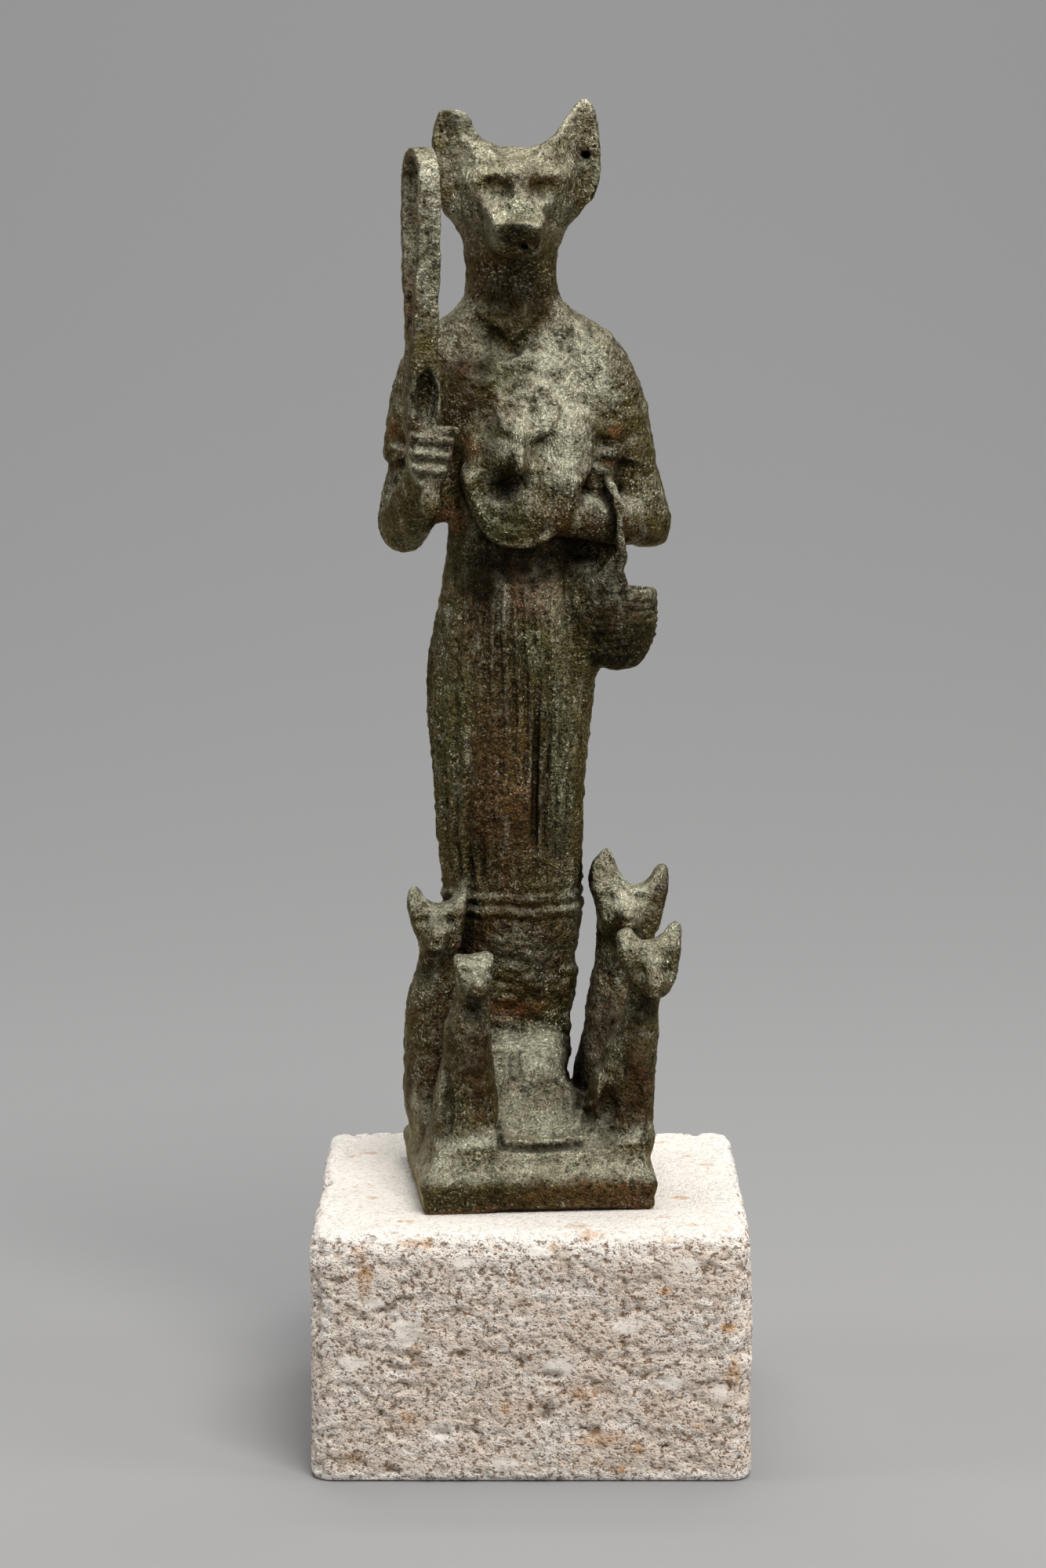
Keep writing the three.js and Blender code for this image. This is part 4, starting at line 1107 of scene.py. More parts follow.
def casting_volume(step):
    """The whole casting, built up in its own frame."""
    volume = Volume((-18.8, -17.6, -1.0), (19.8, 17.2, 134.0), step)
    plate(volume)
    footing(volume)
    volume.place = GODDESS_PLACE
    volume.add(dress(), 1.0)
    creases(volume)
    feet(volume)
    volume.add(torso(), 1.0)
    for part in (breast, arms, sleeve_folds, aegis, neckline, basket, head):
        part(volume)
    volume.add(rattle(), 0.3)
    fist(volume)
    volume.place = (0.0, 0.0, 0.0)
    for cat in KITTENS:
        volume.add(kitten(cat), roots)
        foreleg_groove(volume, cat)
    apron_rim(volume)
    return volume


# Meshes


def linked(name, data):
    """A new object in the scene."""
    obj = bpy.data.objects.new(name, data)
    bpy.context.scene.collection.objects.link(obj)
    return obj


# Patches of colour, each a middle, three half lengths and a strength. Dark ones are mostly painted shade,
# pale ones are wear and painted highlights, and rust and green are patina.
# Those of the goddess are laid out from her soles, and those of the base in the casting's frame.
GODDESS_PATCHES = dict(
    # Painted shade under the chin and muzzle, in the neckline, under the collar and forearm and in the rattle
    # and basket, with darker patina on the ears and down the dress.
    dark=[
        (0.5, -12.8, 103.0, 3.6, 2.6, 2.2, 0.8), (0.6, -5.0, 97.5, 3.8, 3.4, 4.6, 0.8),
        (-7.0, -2.4, 117.7, 2.7, 1.8, 1.5, 0.8), (-2.6, -6.0, 92.0, 2.6, 3.0, 1.5, 0.85),
        (-0.3, -6.0, 92.8, 2.6, 3.5, 2.4, 0.75), (-5.8, -7.0, 86.0, 2.8, 4.0, 5.0, 0.65),
        (9.2, -4.0, 112.2, 1.7, 3.0, 4.5, 0.45), (-2.4, -10.5, 74.4, 2.8, 3.0, 2.4, 0.9),
        (-3.2, -9.0, 80.0, 1.5, 2.5, 3.4, 0.7), (1.5, -6.5, 64.4, 9.5, 5.0, 2.5, 1.0),
        (-4.6, -5.5, 63.0, 3.0, 4.0, 4.5, 1.0), (8.3, -5.0, 65.4, 4.0, 4.5, 1.9, 1.0),
        (12.2, -6.5, 63.6, 2.8, 3.5, 2.6, 0.7), (11.2, -7.0, 60.8, 3.4, 3.5, 2.2, 0.8),
        (-12.0, -13.0, 104.0, 2.4, 2.7, 9.0, 0.9), (-11.7, -15.2, 84.9, 1.5, 1.8, 3.2, 0.95),
        (12.5, -5.0, 55.5, 5.5, 5.0, 6.5, 0.95), (-2.8, -7.0, 47.0, 3.2, 4.0, 14.0, 0.5),
        (3.0, -7.0, 40.0, 1.6, 4.0, 14.0, 0.4), (0.0, -7.0, 30.0, 6.5, 4.0, 7.0, 0.5),
        (0.5, -6.0, 15.5, 6.5, 4.0, 4.5, 0.3),
    ],
    # Wear, with painted highlights and glints on the shoulder, breast, disc, face, rattle, strap and waist,
    # and painted light on the cheeks.
    pale=[
        (6.8, -6.0, 87.5, 5.0, 4.0, 5.8, 0.95), (1.2, -8.0, 83.5, 3.6, 3.0, 3.6, 0.95),
        (6.2, -8.0, 79.5, 3.8, 3.0, 4.6, 0.85), (0.2, -11.0, 79.0, 1.3, 3.0, 3.5, 0.5),
        (5.0, -9.8, 75.0, 2.4, 2.0, 1.6, 0.8), (-3.4, -9.0, 106.0, 1.8, 3.5, 4.0, 0.5),
        (4.4, -9.0, 106.0, 1.8, 3.5, 4.0, 0.45), (-5.0, -4.0, 106.8, 2.8, 4.0, 4.2, 0.3),
        (5.6, -4.0, 106.5, 2.6, 4.0, 4.0, 0.3), (7.2, -4.0, 114.0, 1.2, 3.0, 5.0, 0.3),
        (-7.0, -3.5, 113.2, 2.4, 3.0, 3.0, 0.5), (0.6, -6.2, 4.2, 6.0, 4.5, 4.0, 0.6),
        (0.5, -6.0, 17.0, 5.0, 4.0, 3.0, 0.25), (-1.6, -6.0, 8.7, 2.6, 3.0, 1.0, 0.5),
        (-11.2, -17.5, 102.0, 2.4, 2.0, 12.0, 0.45), (-11.2, -16.0, 78.5, 3.0, 2.4, 4.0, 0.4),
        (8.5, -6.5, 71.0, 3.0, 2.5, 1.6, 0.5), (3.6, -7.0, 61.6, 3.0, 3.0, 3.6, 0.5),
        (-1.8, -7.0, 60.8, 1.0, 3.0, 3.6, 0.45), (5.6, -6.0, 38.0, 1.8, 4.0, 16.0, 0.16),
    ],
    # Copper showing through; the patch at the waist also stands for painted coppery glints.
    rust=[
        (3.0, -7.0, 61.8, 4.6, 3.0, 3.6, 0.4), (-0.8, -7.0, 37.0, 4.2, 4.0, 13.0, 0.36),
        (-13.3, -13.5, 97.0, 0.9, 3.0, 6.0, 0.5), (-1.2, -5.5, 9.6, 4.4, 3.0, 1.6, 0.95),
        (1.5, -12.6, 102.2, 1.8, 1.5, 1.5, 0.6), (-8.3, -2.5, 70.4, 2.6, 3.5, 2.2, 0.85),
        (-5.5, -6.5, 78.8, 1.4, 2.5, 1.8, 0.5), (-6.4, -6.5, 88.2, 1.2, 2.5, 1.2, 0.4),
        (12.0, -4.0, 80.6, 1.0, 2.5, 0.8, 0.8), (11.4, -4.0, 76.6, 0.9, 2.5, 0.7, 0.8),
        (-14.6, -3.0, 80.8, 0.9, 3.0, 1.6, 0.6), (-3.6, -7.0, 44.0, 2.2, 3.0, 9.0, 0.3),
    ],
    green=[
        (-2.4, -6.5, 88.6, 2.2, 3.0, 2.4, 0.7), (-7.5, -4.0, 46.0, 2.6, 4.0, 17.0, 0.35),
        (-2.5, -10.5, 70.2, 4.5, 3.0, 2.6, 0.6), (0.4, -12.0, 106.5, 2.4, 3.0, 1.8, 0.5),
        (2.6, -7.0, 54.0, 2.4, 3.0, 3.0, 0.45), (5.4, -6.0, 38.0, 2.0, 4.0, 16.0, 0.4),
        (-13.0, -3.0, 70.0, 3.0, 4.0, 3.0, 0.4),
    ],
)
PLATE_FRONT = -PLATE_HALF[1]
PIT_Y = FRONT_RIGHT["y"] - 4.4  # in the pit beside the near right kitten's forelegs
BASE_PATCHES = dict(
    # Painted shade in the pit beside the near right kitten's forelegs, under the apron's lip and in its
    # groove, with a darker band on the plate's front.
    dark=[
        (8.4, PIT_Y, TIER_TOP + 4.7, 1.0, 1.6, 1.9, 0.95), (0.6, -13.1, 7.5, 6.0, 0.9, 0.55, 0.7),
        (-4.4, -12.6, 8.4, 0.6, 1.5, 1.4, 0.7), (6.6, -10.5, 11.0, 1.3, 2.5, 2.6, 0.45),
        (0.0, PLATE_FRONT, 1.6, 15.0, 1.3, 2.4, 0.5),
    ],
    # Wear, with painted highlights on the paws and the tier, and painted light on the far right kitten's
    # shaded side and in the apron's hollow.
    pale=[
        (7.6, PIT_Y, TIER_TOP + 1.6, 1.6, 2.0, 1.8, 0.35), (0.0, -13.7, 6.2, 16.0, 1.5, 1.2, 0.35),
        (-7.6, -13.0, 8.2, 2.6, 1.6, 1.0, 0.6), (12.3, -11.5, 9.4, 2.4, 1.8, 1.2, 0.5),
        (-12.8, 0.0, 10.4, 1.6, 3.0, 1.5, 0.5), (8.4, 1.5, 19.0, 2.4, 5.0, 12.0, 0.55),
        (1.0, -9.5, 9.5, 4.4, 3.5, 3.0, 0.3),
    ],
    rust=[
        (9.4, 1.0, 17.0, 2.6, 5.0, 9.0, 0.45), (6.0, PLATE_FRONT, 2.0, 9.0, 1.3, 2.3, 0.4),
        (0.0, PLATE_FRONT, 0.2, 16.0, 1.2, 0.5, 0.9),
    ],
    green=[],
)


def kitten_patches(cat):
    """A pale face, from wear and a painted highlight, painted shade in the sockets, at the throat and below
    the muzzle, and a front darkened by painted shade, with copper on it.
    """
    size, y = cat["size"], cat["y"] - 4.0
    x, z = cat["muzzle"]
    legs_x, neck = cat["legs"][0], cat["body"][-2][0]
    return dict(
        dark=[
            (0.5 * (x + legs_x), y, neck - 1.4, 2.0 * size, 2.6, 1.5, 0.85),
            (legs_x + 0.3, y, 0.55 * neck + 3.0, 2.3 * size, 3.0, 0.28 * neck, cat["shaded"]),
            (x, y - 1.0, z - 1.2 * size, 1.6, 2.5, 0.9, 0.8),
            *((socket_x, y, socket_z, 0.7, 3.0, 0.5, 0.25) for socket_x, socket_z in sockets(cat)),
        ],
        pale=[(x, y + 0.5, z + 1.6 * size, 2.6 * size, 4.0, 3.2 * size, cat["worn"])],
        rust=[(legs_x + 0.3, y, 0.5 * neck + 3.0, 1.7 * size, 3.0, 0.24 * neck, 0.5)],
        green=[],
    )


def patches(points, places, ragged):
    """How far each point lies within any of the places, with a ragged edge."""
    total = np.zeros(len(points), np.float32)
    for x, y, z, a, b, c, strength in places:
        u, v, w = (points[:, 0] - x) / a, (points[:, 1] - y) / b, (points[:, 2] - z) / c
        near = np.sqrt(u * u + v * v + w * w)
        total = np.maximum(total, strength * smooth_step(1.35, 0.55, near + 0.3 * ragged))
    return total


def patina_and_painted_light(mesh, points, noise):
    """Paint the rusty and green places of the patina, and the dark places, mostly painted shade, and the pale
    places, wear and painted highlights.
    """
    ragged = noise.layers(points, 2.2, 3)
    local = points - np.asarray(GODDESS_PLACE)
    groups = [BASE_PATCHES, *(kitten_patches(cat) for cat in KITTENS)]
    for kind, places in GODDESS_PATCHES.items():
        others = [place for group in groups for place in group[kind]]
        paint(mesh, kind, np.maximum(patches(local, places, ragged), patches(points, others, ragged)))


def reduced(obj):
    """Bring the object's mesh down to about TRIANGLES."""
    have = 2 * len(obj.data.polygons)
    if have <= TRIANGLES:
        return
    reducer = obj.modifiers.new("reduce", "DECIMATE")
    reducer.ratio = TRIANGLES / have
    shown = bpy.context.evaluated_depsgraph_get()
    mesh = bpy.data.meshes.new_from_object(obj.evaluated_get(shown))
    obj.modifiers.clear()
    obj.data = mesh


def drawn(name, volume, relief):
    """The volume's surface as an object, moved outward by the relief at its points."""
    points, faces = volume.surface()
    out = volume.slope(points)
    mesh = bpy.data.meshes.new(name)
    mesh.from_pydata(((points + out * relief(points, out)[:, None]) * MM).tolist(), [], faces.tolist())
    mesh.validate()
    obj = linked(name, mesh)
    reduced(obj)
    obj.data.polygons.foreach_set("use_smooth", np.ones(len(obj.data.polygons), bool))
    return obj


def vertex_points(mesh):
    co = np.zeros(3 * len(mesh.vertices), np.float32)
    mesh.vertices.foreach_get("co", co)
    return co.reshape(-1, 3).astype(float) / MM


def paint(mesh, name, values):
    attribute = mesh.attributes.new(name, "FLOAT", "POINT")
    attribute.data.foreach_set("value", np.clip(values, 0, 1).astype(np.float32))


def hollowness(volume, points, out, reach):
    """How shut in a point is, from 0 in the open to 1 deep in a hollow."""
    free = volume.sample(points + out * reach)
    return np.clip(1 - free / reach, 0, 1)


def sharpness(volume, points, out, reach):
    """How far a point stands out as an edge or ridge, from 0 to 1."""
    depth = -volume.sample(points - out * reach)
    return np.clip(1 - depth / reach, 0, 1)


def bronze_piece():
    volume = casting_volume(CASTING_STEP)
    noise = Noise(CAST_SEED)
    # The dress below the hem and the chest are rougher than the rest, and the base is smoother.
    rough_places = [(0.0, -4.0, 13.5, 8.5, 6.0, 7.0, 1.0), (2.0, -5.0, 83.0, 9.0, 5.0, 8.0, 0.6)]

    def relief(points, out):
        swell = noise.layers(points, 5.0, 2) * 0.10
        cast = noise.layers(points, 1.7, 2) * 0.09
        grain = noise.layers(points, 0.75, 2, 0.6) * 0.105
        rugged = 1 + 0.9 * patches(points - np.asarray(GODDESS_PLACE), rough_places, 0.0)
        rugged = rugged * (1 - 0.45 * smooth_step(8.5, 7.0, points[:, 2]))
        worn = smooth_step(0.25, 0.7, sharpness(volume, points, out, 1.2))
        return (swell + (cast + grain) * rugged) * (1 - 0.4 * worn)

    obj = drawn("bronze_figure", volume, relief)
    mesh = obj.data
    rest = vertex_points(mesh)
    out = volume.slope(rest)
    # How shut in each point is, for the shade the material paints into hollows.
    deep = 0.4 * hollowness(volume, rest, out, 0.8)
    deep = deep + 0.35 * hollowness(volume, rest, out, 1.8) + 0.25 * hollowness(volume, rest, out, 3.2)
    paint(mesh, "hollow", deep)
    paint(mesh, "edge", 0.6 * sharpness(volume, rest, out, 0.7) + 0.4 * sharpness(volume, rest, out, 1.6))
    patina_and_painted_light(mesh, rest, Noise(PATINA_SEED))
    obj.rotation_euler = (0, 0, math.radians(CASTING_TURN))
    obj.location = tuple(MM * v for v in CASTING_PLACE)
    bpy.context.view_layer.update()
    mesh.transform(obj.matrix_world)
    obj.rotation_euler = (0, 0, 0)
    obj.location = (0, 0, 0)
    return obj


def nick_edges(volume, chance, half, height):
    """Nicks along the tumbled edges: four upright ones and the four of the top."""
    for _ in range(NICKS):
        edge = chance.integers(0, 8)
        size = 0.4 + 1.0 * chance.random() ** 2
        aside = chance.uniform(-0.93, 0.93)
        if edge < 4:
            inner = half - 0.6
            x, y = inner * (1 if edge & 1 else -1), inner * (1 if edge & 2 else -1)
            centre = [x, y, chance.uniform(1, height)]
            halves = [size * 0.7, size * 0.7, size * 1.2]
        else:
            axis = edge % 2
            centre = [0.0, 0.0, height - 0.1]
            centre[axis] = (1 if edge < 6 else -1) * (half - 0.2)
            centre[1 - axis] = aside * half
            halves = [size * 0.8] * 3
            halves[1 - axis] = size * 1.5
        volume.cut(egg(centre, halves), 0.5)


def pit_sides(volume, chance, half, height):
    """A few larger pits in the four sides."""
    for _ in range(LARGER_PITS):
        face = chance.integers(0, 4)
        axis, sign = face % 2, 1 if face < 2 else -1
        centre = [0.0, 0.0, chance.uniform(2, height - 2)]
        centre[axis] = sign * (half + 0.25)
        centre[1 - axis] = chance.uniform(-half + 2, half - 2)
        size = 0.5 + 0.5 * chance.random()
        halves = [size, size, 0.8 * size]
        halves[1 - axis] = size * (1.1 + chance.random())
        volume.cut(egg(centre, halves), 0.3)


def block_volume(step):
    """The square block with rounded upright corners and a tumbled top edge, softest at the front."""
    half, height = BLOCK[0] / 2, BLOCK[2]
    corner, margin = 2.6, 1.5
    reach = half + margin
    volume = Volume((-reach, -reach, -1), (reach, reach, height + margin), step)

    def distance(x, y, z):
        plan = round_corner(np.abs(x) - half + corner, np.abs(y) - half + corner, corner)
        above = along([(-26, 3.4), (-21, 2.2), (-5, 1.8), (20, 1.4), (26, 0.8)], y)
        return smooth_max(plan, np.abs(z - height / 2) - height / 2, np.where(z > height / 2, above, 0.6))

    volume.add(Form((-half, -half, 0), (half, half, height), distance), 0.1)
    chance = np.random.default_rng(NICK_SEED)
    nick_edges(volume, chance, half, height)
    pit_sides(volume, chance, half, height)
    return volume


def on_front(depth, rows):
    """Patches in the block's front, from rows of x, z, half width, half height and strength."""
    return [(x, -BLOCK[1] / 2, z, a, depth, c, strength) for x, z, a, c, strength in rows]


def on_top(rows):
    """Patches in the block's top, from rows of x, y, half width, half depth and strength."""
    return [(x, y, BLOCK[2], a, b, 0.6, strength) for x, y, a, b, strength in rows]


# Rusty stains, and pale shell-like grains.
STAINS = on_front(1.2, [
    (-19.7, 25.2, 1.0, 2.0, 0.9), (-20.4, 28.0, 0.8, 0.8, 0.7), (15.8, 23.4, 0.9, 0.6, 0.8),
    (22.8, 19.0, 1.1, 0.7, 1.0), (23.9, 13.2, 0.9, 1.8, 0.8), (5.9, 10.8, 2.2, 0.7, 0.8),
    (-3.0, 9.0, 0.7, 1.0, 0.7), (8.5, 5.4, 2.2, 1.0, 0.7), (-13.0, 29.0, 2.0, 0.7, 0.6),
    (12.6, 4.0, 0.8, 0.8, 0.7), (-21.0, 3.0, 1.2, 0.7, 0.6),
]) + on_top([
    (16, -18, 1.1, 0.6, 0.9), (19, -21.5, 0.8, 0.6, 0.8), (5.5, -22, 1.3, 0.7, 0.9),
    (-15, -20, 1.2, 0.5, 0.7), (18, -8, 1.3, 0.6, 0.8), (-19, -9, 1.2, 0.5, 0.7), (22, 8, 0.9, 0.8, 0.8),
    (-20.5, 14, 1.3, 0.6, 0.7),
]) + [(7.0, -24.5, 30, 1.6, 1.2, 1.0, 0.6)]
SHELLS = on_front(1.5, [
    (-15.0, 18.1, 1.8, 1.7, 0.9), (3.2, 13.9, 2.0, 1.4, 0.8), (11.5, 18.9, 1.7, 0.9, 1.0),
    (16.4, 12.2, 1.7, 0.8, 1.0), (22.2, 10.9, 1.2, 1.4, 0.7), (-8.0, 26.6, 1.4, 0.7, 0.9),
    (-3.3, 2.3, 1.7, 0.9, 0.8), (1.0, 28.0, 1.6, 0.6, 0.8), (-21.5, 14.5, 1.6, 0.9, 0.8),
    (18.0, 26.5, 1.8, 0.9, 0.8), (-11.0, 6.5, 1.5, 0.8, 0.7), (-18.5, 21.8, 1.3, 0.6, 0.8),
])


def travertine_piece():
    volume = block_volume(BLOCK_STEP)
    noise = Noise(STONE_SEED)

    def relief(points, out):
        x, y, z = points.T
        # The sides and the worn rim of the top are pitted, and the rest of the top is smooth.
        side = smooth_step(0.75, 0.35, np.abs(out[:, 2]))
        inward = np.minimum(BLOCK[0] / 2 - np.abs(x), BLOCK[1] / 2 - np.abs(y))
        side = np.maximum(side, 0.75 * smooth_step(5.5, 1.5, inward))
        spread = points * np.array([0.85, 0.85, 1.0])
        rows = 0.10 * np.sin(z * 1.3 + 0.9 * noise.at(points, 5.0))
        pits = smooth_step(0.16, 0.44, noise.layers(spread, 0.66, 2) + rows)
        holes = smooth_step(0.42, 0.7, noise.layers(spread, 1.3, 2) + rows)
        lumps = noise.layers(points, 0.62, 2) * 0.10
        smooth = 1 - 0.85 * patches(points, SHELLS, 1.1 * noise.layers(points, 1.1, 3))
        rough = noise.layers(points, 3.6, 2) * 0.08
        swell = noise.at(points, 9.0) * 0.16
        pitting = 0.24 * lumps - 0.26 * pits - 0.30 * holes
        amount = 0.16 + swell + rough + pitting * (0.12 + 0.88 * side) * smooth
        # The casting's seat and the underside stay flat.
        around = np.maximum(np.abs(x) - 15.5, np.abs(y) - 17)
        seat = smooth_step(1.5, 0.0, around) * (z > BLOCK[2] - 1)
        return amount * (z > 0.6) * (1 - 0.9 * seat)

    obj = drawn("travertine_plinth", volume, relief)
    mesh = obj.data
    rest = vertex_points(mesh)
    out = volume.slope(rest)
    # How sunk or shut in each point is, for the shade painted into pits and hollows.
    sunk = np.clip(-(volume.sample(rest) + 0.05) / 0.40, 0, 1)
    paint(mesh, "hollow", np.maximum(0.8 * hollowness(volume, rest, out, 0.7), sunk))
    ragged = noise.layers(rest, 1.1, 3)
    paint(mesh, "stain", patches(rest, STAINS, 1.4 * ragged))
    paint(mesh, "shell", patches(rest, SHELLS, 1.1 * ragged))
    paint(mesh, "edge", sharpness(volume, rest, out, 1.5))
    return obj


# Materials


class Nodes:
    """Short calls for a material's nodes. Its base colour is laid up in coats."""

    def __init__(self, name):
        self.material = bpy.data.materials.new(name)
        self.material.use_nodes = True
        self.tree = self.material.node_tree
        self.shader = self.tree.nodes["Principled BSDF"]
        self.place = self.node("ShaderNodeTexCoord").outputs["Object"]
        self.base = None

    def node(self, kind, **values):
        made = self.tree.nodes.new(kind)
        for name, value in values.items():
            setattr(made, name, value)
        return made

    def put(self, made, **inputs):
        """Set or link a node's inputs, whose names are given with _ for each space."""
        for name, value in inputs.items():
            socket = made.inputs[name.replace("_", " ")]
            if isinstance(value, bpy.types.NodeSocket):
                self.tree.links.new(value, socket)
            else:
                socket.default_value = value

    def noise(self, size, detail, roughness, stretch=(1, 1, 1), distortion=0.0):
        """Noise whose lumps are about size millimetres across, stretched by the given factors."""
        mapping = self.node("ShaderNodeMapping")
        self.put(mapping, Vector=self.place, Scale=tuple(1 / (size * MM * s) for s in stretch))
        made = self.node("ShaderNodeTexNoise")
        self.put(made, Vector=mapping.outputs["Vector"], Scale=1.0)
        self.put(made, Detail=detail, Roughness=roughness, Distortion=distortion)
        return made.outputs["Fac"]

    def attribute(self, name):
        return self.node("ShaderNodeAttribute", attribute_name=name).outputs["Fac"]

    def upward(self):
        split = self.node("ShaderNodeSeparateXYZ")
        self.put(split, Vector=self.node("ShaderNodeNewGeometry").outputs["Normal"])
        return split.outputs["Z"]

    def sum(self, operation, a, b, clamp=False):
        made = self.node("ShaderNodeMath", operation=operation, use_clamp=clamp)
        for value, socket in zip((a, b), made.inputs):
            if isinstance(value, bpy.types.NodeSocket):
                self.tree.links.new(value, socket)
            else:
                socket.default_value = value
        return made.outputs[0]

    def times(self, a, b):
        return self.sum("MULTIPLY", a, b)

    def plus(self, a, b):
        """A sum held between 0 and 1."""
        return self.sum("ADD", a, b, clamp=True)

    def ramp(self, value, low, high, to_low=0.0, to_high=1.0):
        made = self.node("ShaderNodeMapRange", interpolation_type="SMOOTHSTEP")
        self.put(made, Value=value, From_Min=low, From_Max=high, To_Min=to_low, To_Max=to_high)
        return made.outputs["Result"]

    def mix(self, share, a, b):
        made = self.node("ShaderNodeMix", data_type="RGBA")
        self.put(made, Factor=share)
        for value, socket in ((a, made.inputs[6]), (b, made.inputs[7])):
            if isinstance(value, tuple):
                socket.default_value = (*value, 1.0)
            else:
                self.tree.links.new(value, socket)
        return made.outputs[2]

    def coat(self, colour, share, strength=1.0):
        """Lay a colour over the base colour, by a share from 0 to 1."""
        self.base = self.mix(share if strength == 1.0 else self.times(share, strength), self.base, colour)

    def bump(self, heights, depth):
        """Bump from a sum of heights, each a value and its share of the depth in millimetres."""
        total = None
        for value, share in heights:
            scaled = self.times(value, share)
            total = scaled if total is None else self.sum("ADD", total, scaled)
        made = self.node("ShaderNodeBump")
        self.put(made, Distance=depth * MM, Strength=1.0, Height=total)
        self.put(self.shader, Normal=made.outputs["Normal"])


def bronze_material():
    m = Nodes("patinated_bronze")
    olive, umber = (0.073, 0.057, 0.015), (0.056, 0.031, 0.008)
    pale, dark = (0.475, 0.465, 0.35), (0.005, 0.003, 0.001)
    verdigris, copper, painted_glint = (0.058, 0.069, 0.027), (0.23, 0.082, 0.030), (0.74, 0.70, 0.55)
    broad, patched = m.noise(13, 5, 0.6), m.noise(4.5, 5, 0.65, distortion=0.4)
    mottled, grain, fine = m.noise(1.5, 4, 0.7), m.noise(0.62, 3, 0.65), m.noise(0.30, 2, 0.6)
    m.base = m.mix(m.ramp(broad, 0.40, 0.62), olive, umber)
    m.coat(verdigris, m.plus(m.times(m.ramp(patched, 0.50, 0.70), 0.35), m.attribute("green")), 0.8)
    # Upward faces are painted paler, as painted light from above. Edges are paler from wear and as painted
    # highlights on ridges. The pale patches are wear, painted highlights and glints, and painted light on
    # places in shade.
    up = m.ramp(m.upward(), -0.05, 0.80)
    lit_from_above = m.times(up, m.ramp(patched, 0.25, 0.65, 0.4, 1.0))
    worn = m.times(m.ramp(m.attribute("edge"), 0.25, 0.85), m.ramp(mottled, 0.35, 0.65))
    rubbed_and_highlit = m.times(m.attribute("pale"), m.ramp(mottled, 0.30, 0.62, 0.35, 1.0))
    light = m.plus(m.plus(m.times(lit_from_above, 0.64), m.times(worn, 0.45)), m.times(rubbed_and_highlit, 0.74))
    m.coat(pale, light)
    # Streaks and pores of the cast skin, and specks of painted glint, the dark ones weaker where it is pale.
    calm = m.ramp(light, 0.2, 0.9, 1.0, 0.58)
    streaks = m.noise(2.2, 4, 0.6, stretch=(1.0, 1.0, 3.5))
    m.coat(pale, m.ramp(streaks, 0.55, 0.70), 0.34)
    m.coat(dark, m.times(m.ramp(streaks, 0.50, 0.34), calm), 0.55)
    m.coat(painted_glint, m.times(m.ramp(fine, 0.54, 0.70), m.ramp(patched, 0.42, 0.64, 0.15, 1.0)), 0.62)
    pores = m.plus(m.times(m.ramp(fine, 0.47, 0.35), 0.6), m.times(m.ramp(grain, 0.47, 0.33), 0.7))
    pores = m.plus(pores, m.times(m.ramp(mottled, 0.46, 0.32), 0.45))
    m.coat(dark, m.times(pores, calm))
    # Copper shows through. The dark patches, mostly painted shade with some darker patina, and the shut-in
    # hollows, as painted shade, are laid on nearly black.
    blotches = m.times(m.ramp(m.noise(8, 3, 0.55), 0.62, 0.76), 0.25)
    m.coat(copper, m.times(m.plus(m.attribute("rust"), blotches), m.ramp(grain, 0.34, 0.60)), 0.7)
    shade = m.times(m.attribute("dark"), m.ramp(mottled, 0.62, 0.36, 0.7, 1.0))
    deep = m.ramp(m.attribute("hollow"), 0.16, 0.68)
    m.coat(dark, shade, 0.95)
    m.coat(dark, deep, 0.90)
    m.put(m.shader, Base_Color=m.base, Metallic=0.75)
    m.put(m.shader, Specular_IOR_Level=0.35, Specular_Tint=(1.0, 0.87, 0.58, 1.0))
    rough = m.ramp(grain, 0.35, 0.65, 0.44, 0.24)
    m.put(m.shader, Roughness=m.plus(rough, m.times(m.sum("MAXIMUM", deep, shade), 0.25)))
    m.bump([(mottled, 1.0), (grain, 0.8), (fine, 0.25)], 0.70)
    return m.material


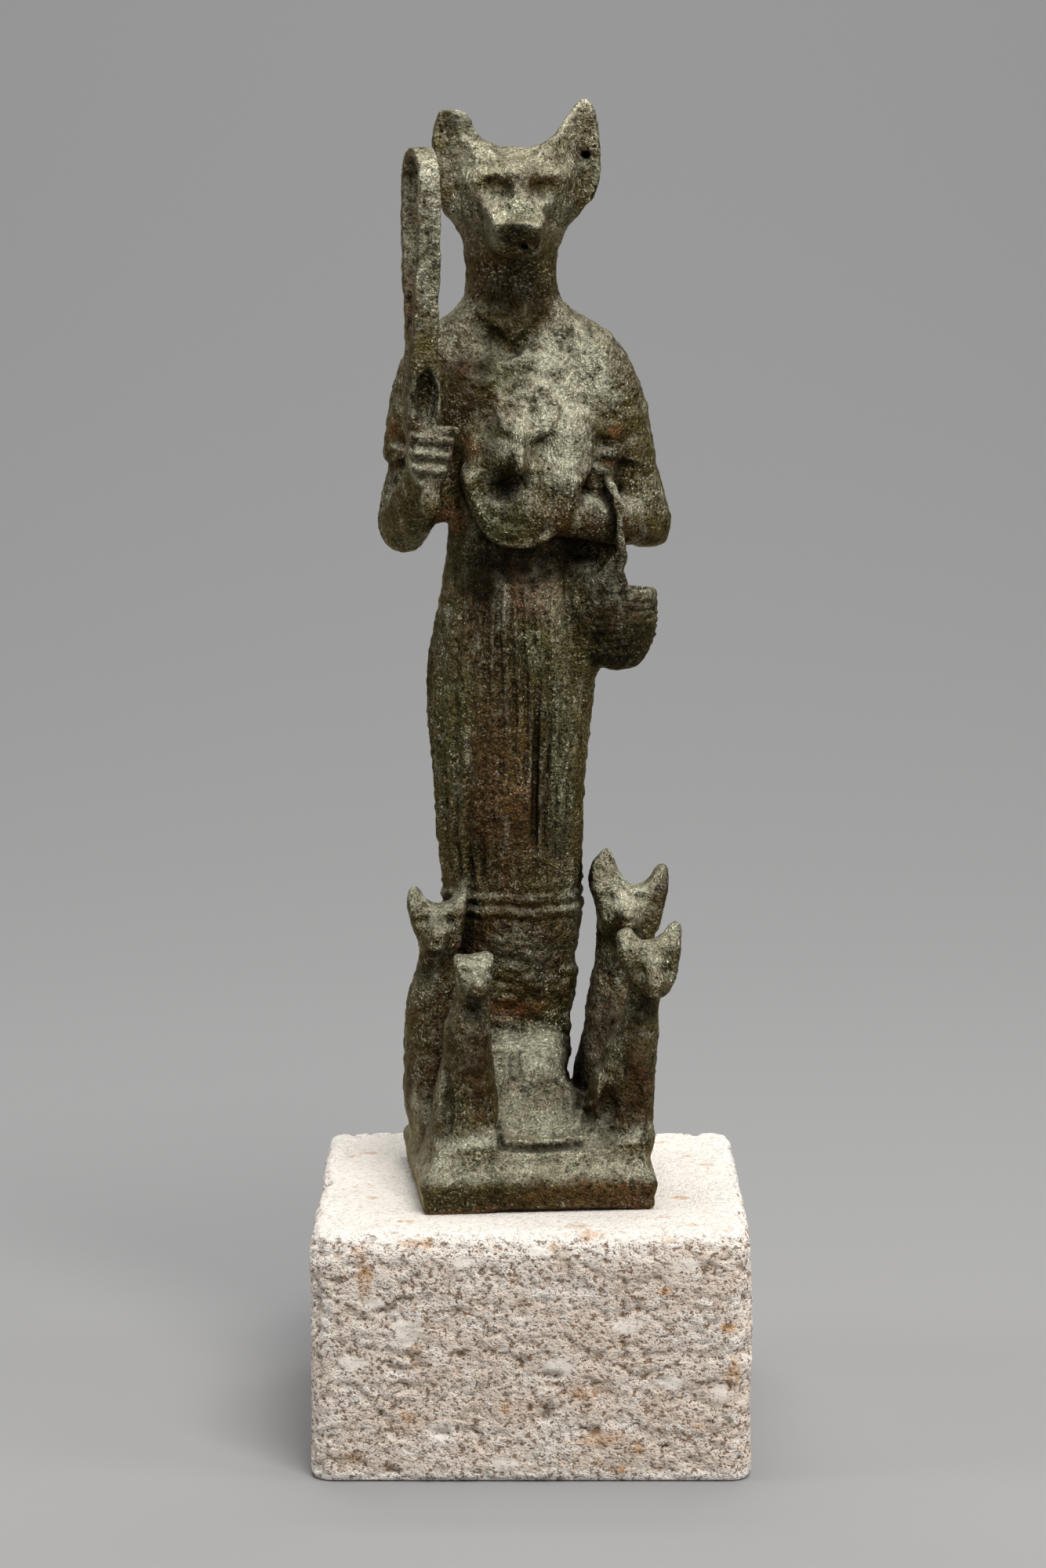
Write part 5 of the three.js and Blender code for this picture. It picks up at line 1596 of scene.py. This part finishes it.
def travertine_material():
    m = Nodes("tumbled_travertine")
    cream, beige, white = (0.70, 0.605, 0.52), (0.59, 0.49, 0.40), (0.74, 0.70, 0.645)
    ochre, brown, shell = (0.50, 0.25, 0.08), (0.27, 0.14, 0.065), (0.74, 0.69, 0.63)
    sunk = (0.30, 0.18, 0.095)
    beds = m.noise(2.6, 5, 0.65, stretch=(2.6, 2.6, 1.0), distortion=0.3)
    crumbs, tiny = m.noise(0.56, 3, 0.6, stretch=(1.25, 1.25, 1.0)), m.noise(0.30, 2, 0.6)
    shells = m.attribute("shell")
    up = m.ramp(m.upward(), 0.35, 0.95)
    m.base = m.mix(m.ramp(beds, 0.38, 0.62), cream, beige)
    m.coat(shell, m.ramp(m.noise(7, 4, 0.6), 0.52, 0.64), 0.5)
    m.coat(shell, m.ramp(m.noise(1.9, 2, 0.4, stretch=(1.5, 1.5, 0.8)), 0.63, 0.66), 0.8)
    m.coat(shell, shells, 0.85)
    # The top is painted paler, as painted light from above, and the edges too, partly worn and partly painted
    # light.
    m.coat(white, up, 0.85)
    m.coat(white, m.ramp(m.attribute("edge"), 0.06, 0.42), 0.8)
    spots = m.ramp(m.noise(3.0, 4, 0.65, stretch=(1.6, 1.6, 1)), 0.61, 0.71)
    stain = m.times(m.attribute("stain"), m.ramp(crumbs, 0.68, 0.44, 0.25, 1.0))
    m.coat(ochre, m.plus(m.times(spots, m.ramp(crumbs, 0.40, 0.60)), stain), 0.9)
    # Pits and dots are left out of the shells, and few are on the top.
    open_face = m.times(m.ramp(up, 0.0, 1.0, 1.0, 0.15), m.ramp(shells, 0.3, 0.7, 1.0, 0.2))
    pits = m.times(m.ramp(crumbs, 0.42, 0.35), open_face)
    dots = m.times(m.ramp(tiny, 0.40, 0.33), open_face)
    m.coat(brown, pits, 0.9)
    m.coat(brown, dots, 0.8)
    # Shut-in and sunken places, the insides of the pits among them, are painted dark brown as painted shade.
    m.coat(sunk, m.ramp(m.attribute("hollow"), 0.25, 0.95), 0.80)
    m.put(m.shader, Base_Color=m.base, Roughness=0.85)
    flat = m.ramp(shells, 0.2, 0.6, 1.0, 0.1)
    crumbs, tiny = (m.times(m.sum("SUBTRACT", value, 0.5), flat) for value in (crumbs, tiny))
    m.bump([(crumbs, 0.5), (pits, -0.45), (dots, -0.3), (tiny, 0.35), (beds, 0.3)], 0.80)
    return m.material


# The stage


def sweep():
    """A pale floor that curves up gently into a wall behind, in metres."""
    front, start, half_width, radius, bend, parts = -2.5, 0.30, 3.0, 1.5, 78, 20
    angles = [math.radians(bend * n / parts) for n in range(parts + 1)]
    curve = [(start + radius * math.sin(angle), radius * (1 - math.cos(angle))) for angle in angles]
    points, faces = [], []
    for n, (y, z) in enumerate([(front, 0.0), *curve]):
        points += [(-half_width, y, z), (half_width, y, z)]
        if n > 0:
            faces.append((2 * n - 2, 2 * n - 1, 2 * n + 1, 2 * n))
    mesh = bpy.data.meshes.new("floor")
    mesh.from_pydata(points, [], faces)
    mesh.polygons.foreach_set("use_smooth", np.ones(len(faces), bool))
    paper = Nodes("paper")
    paper.put(paper.shader, Base_Color=(0.242, 0.241, 0.242, 1.0), Roughness=0.9)
    mesh.materials.append(paper.material)
    obj = linked("floor", mesh)


def lamp(name, place, aim, size, power, colour=(1, 1, 1)):
    """A soft lamp of a width and a height in metres, which shines at a point."""
    data = bpy.data.lights.new(name, "AREA")
    data.shape = "RECTANGLE"
    data.size, data.size_y = size
    data.energy = power
    data.color = colour
    obj = linked(name, data)
    obj.location = place
    way = np.asarray(aim, float) - np.asarray(place, float)
    way = way / np.linalg.norm(way)
    obj.rotation_euler = (math.acos(-way[2]), 0, math.atan2(way[1], way[0]) - math.pi / 2)


def camera():
    """The photo's view, fitted to the block's front and top edges."""
    data = bpy.data.cameras.new("camera")
    data.lens = 86.04
    data.sensor_width = 36.0
    obj = linked("camera", data)
    obj.location = (-0.001, -0.4543, 0.1444)
    downward = 8.08
    obj.rotation_euler = (math.radians(90 - downward), 0, 0)
    bpy.context.scene.camera = obj


def world():
    """A faint even light from all around."""
    made = bpy.data.worlds.new("studio")
    made.use_nodes = True
    back = made.node_tree.nodes["Background"]
    back.inputs["Color"].default_value = (1.0, 0.98, 0.95, 1)
    back.inputs["Strength"].default_value = 0.08
    bpy.context.scene.world = made
    bpy.context.scene.view_settings.view_transform = "Standard"


bronze = bronze_piece()
bronze.data.materials.append(bronze_material())
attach(bronze, "root")
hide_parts("bronze_casting")

plinth = travertine_piece()
plinth.data.materials.append(travertine_material())
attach(plinth, "root")
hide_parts("travertine_block")

sweep()
world()
camera()
lamp("key", (0.22, -0.50, 0.72), (0, 0, 0.10), (0.40, 0.32), 7.8, (1, 0.985, 0.96))
lamp("top", (0.0, 0.05, 0.88), (0, 0, 0.10), (0.5, 0.5), 4.3)
lamp("left", (-0.75, -0.12, 0.30), (0, 0, 0.08), (0.3, 0.7), 2.6)
lamp("right", (0.75, -0.22, 0.34), (0, 0, 0.08), (0.3, 0.7), 2.6)
lamp("wall", (0.0, 0.75, 1.35), (0, 1.45, 0.25), (1.4, 0.4), 13.6)
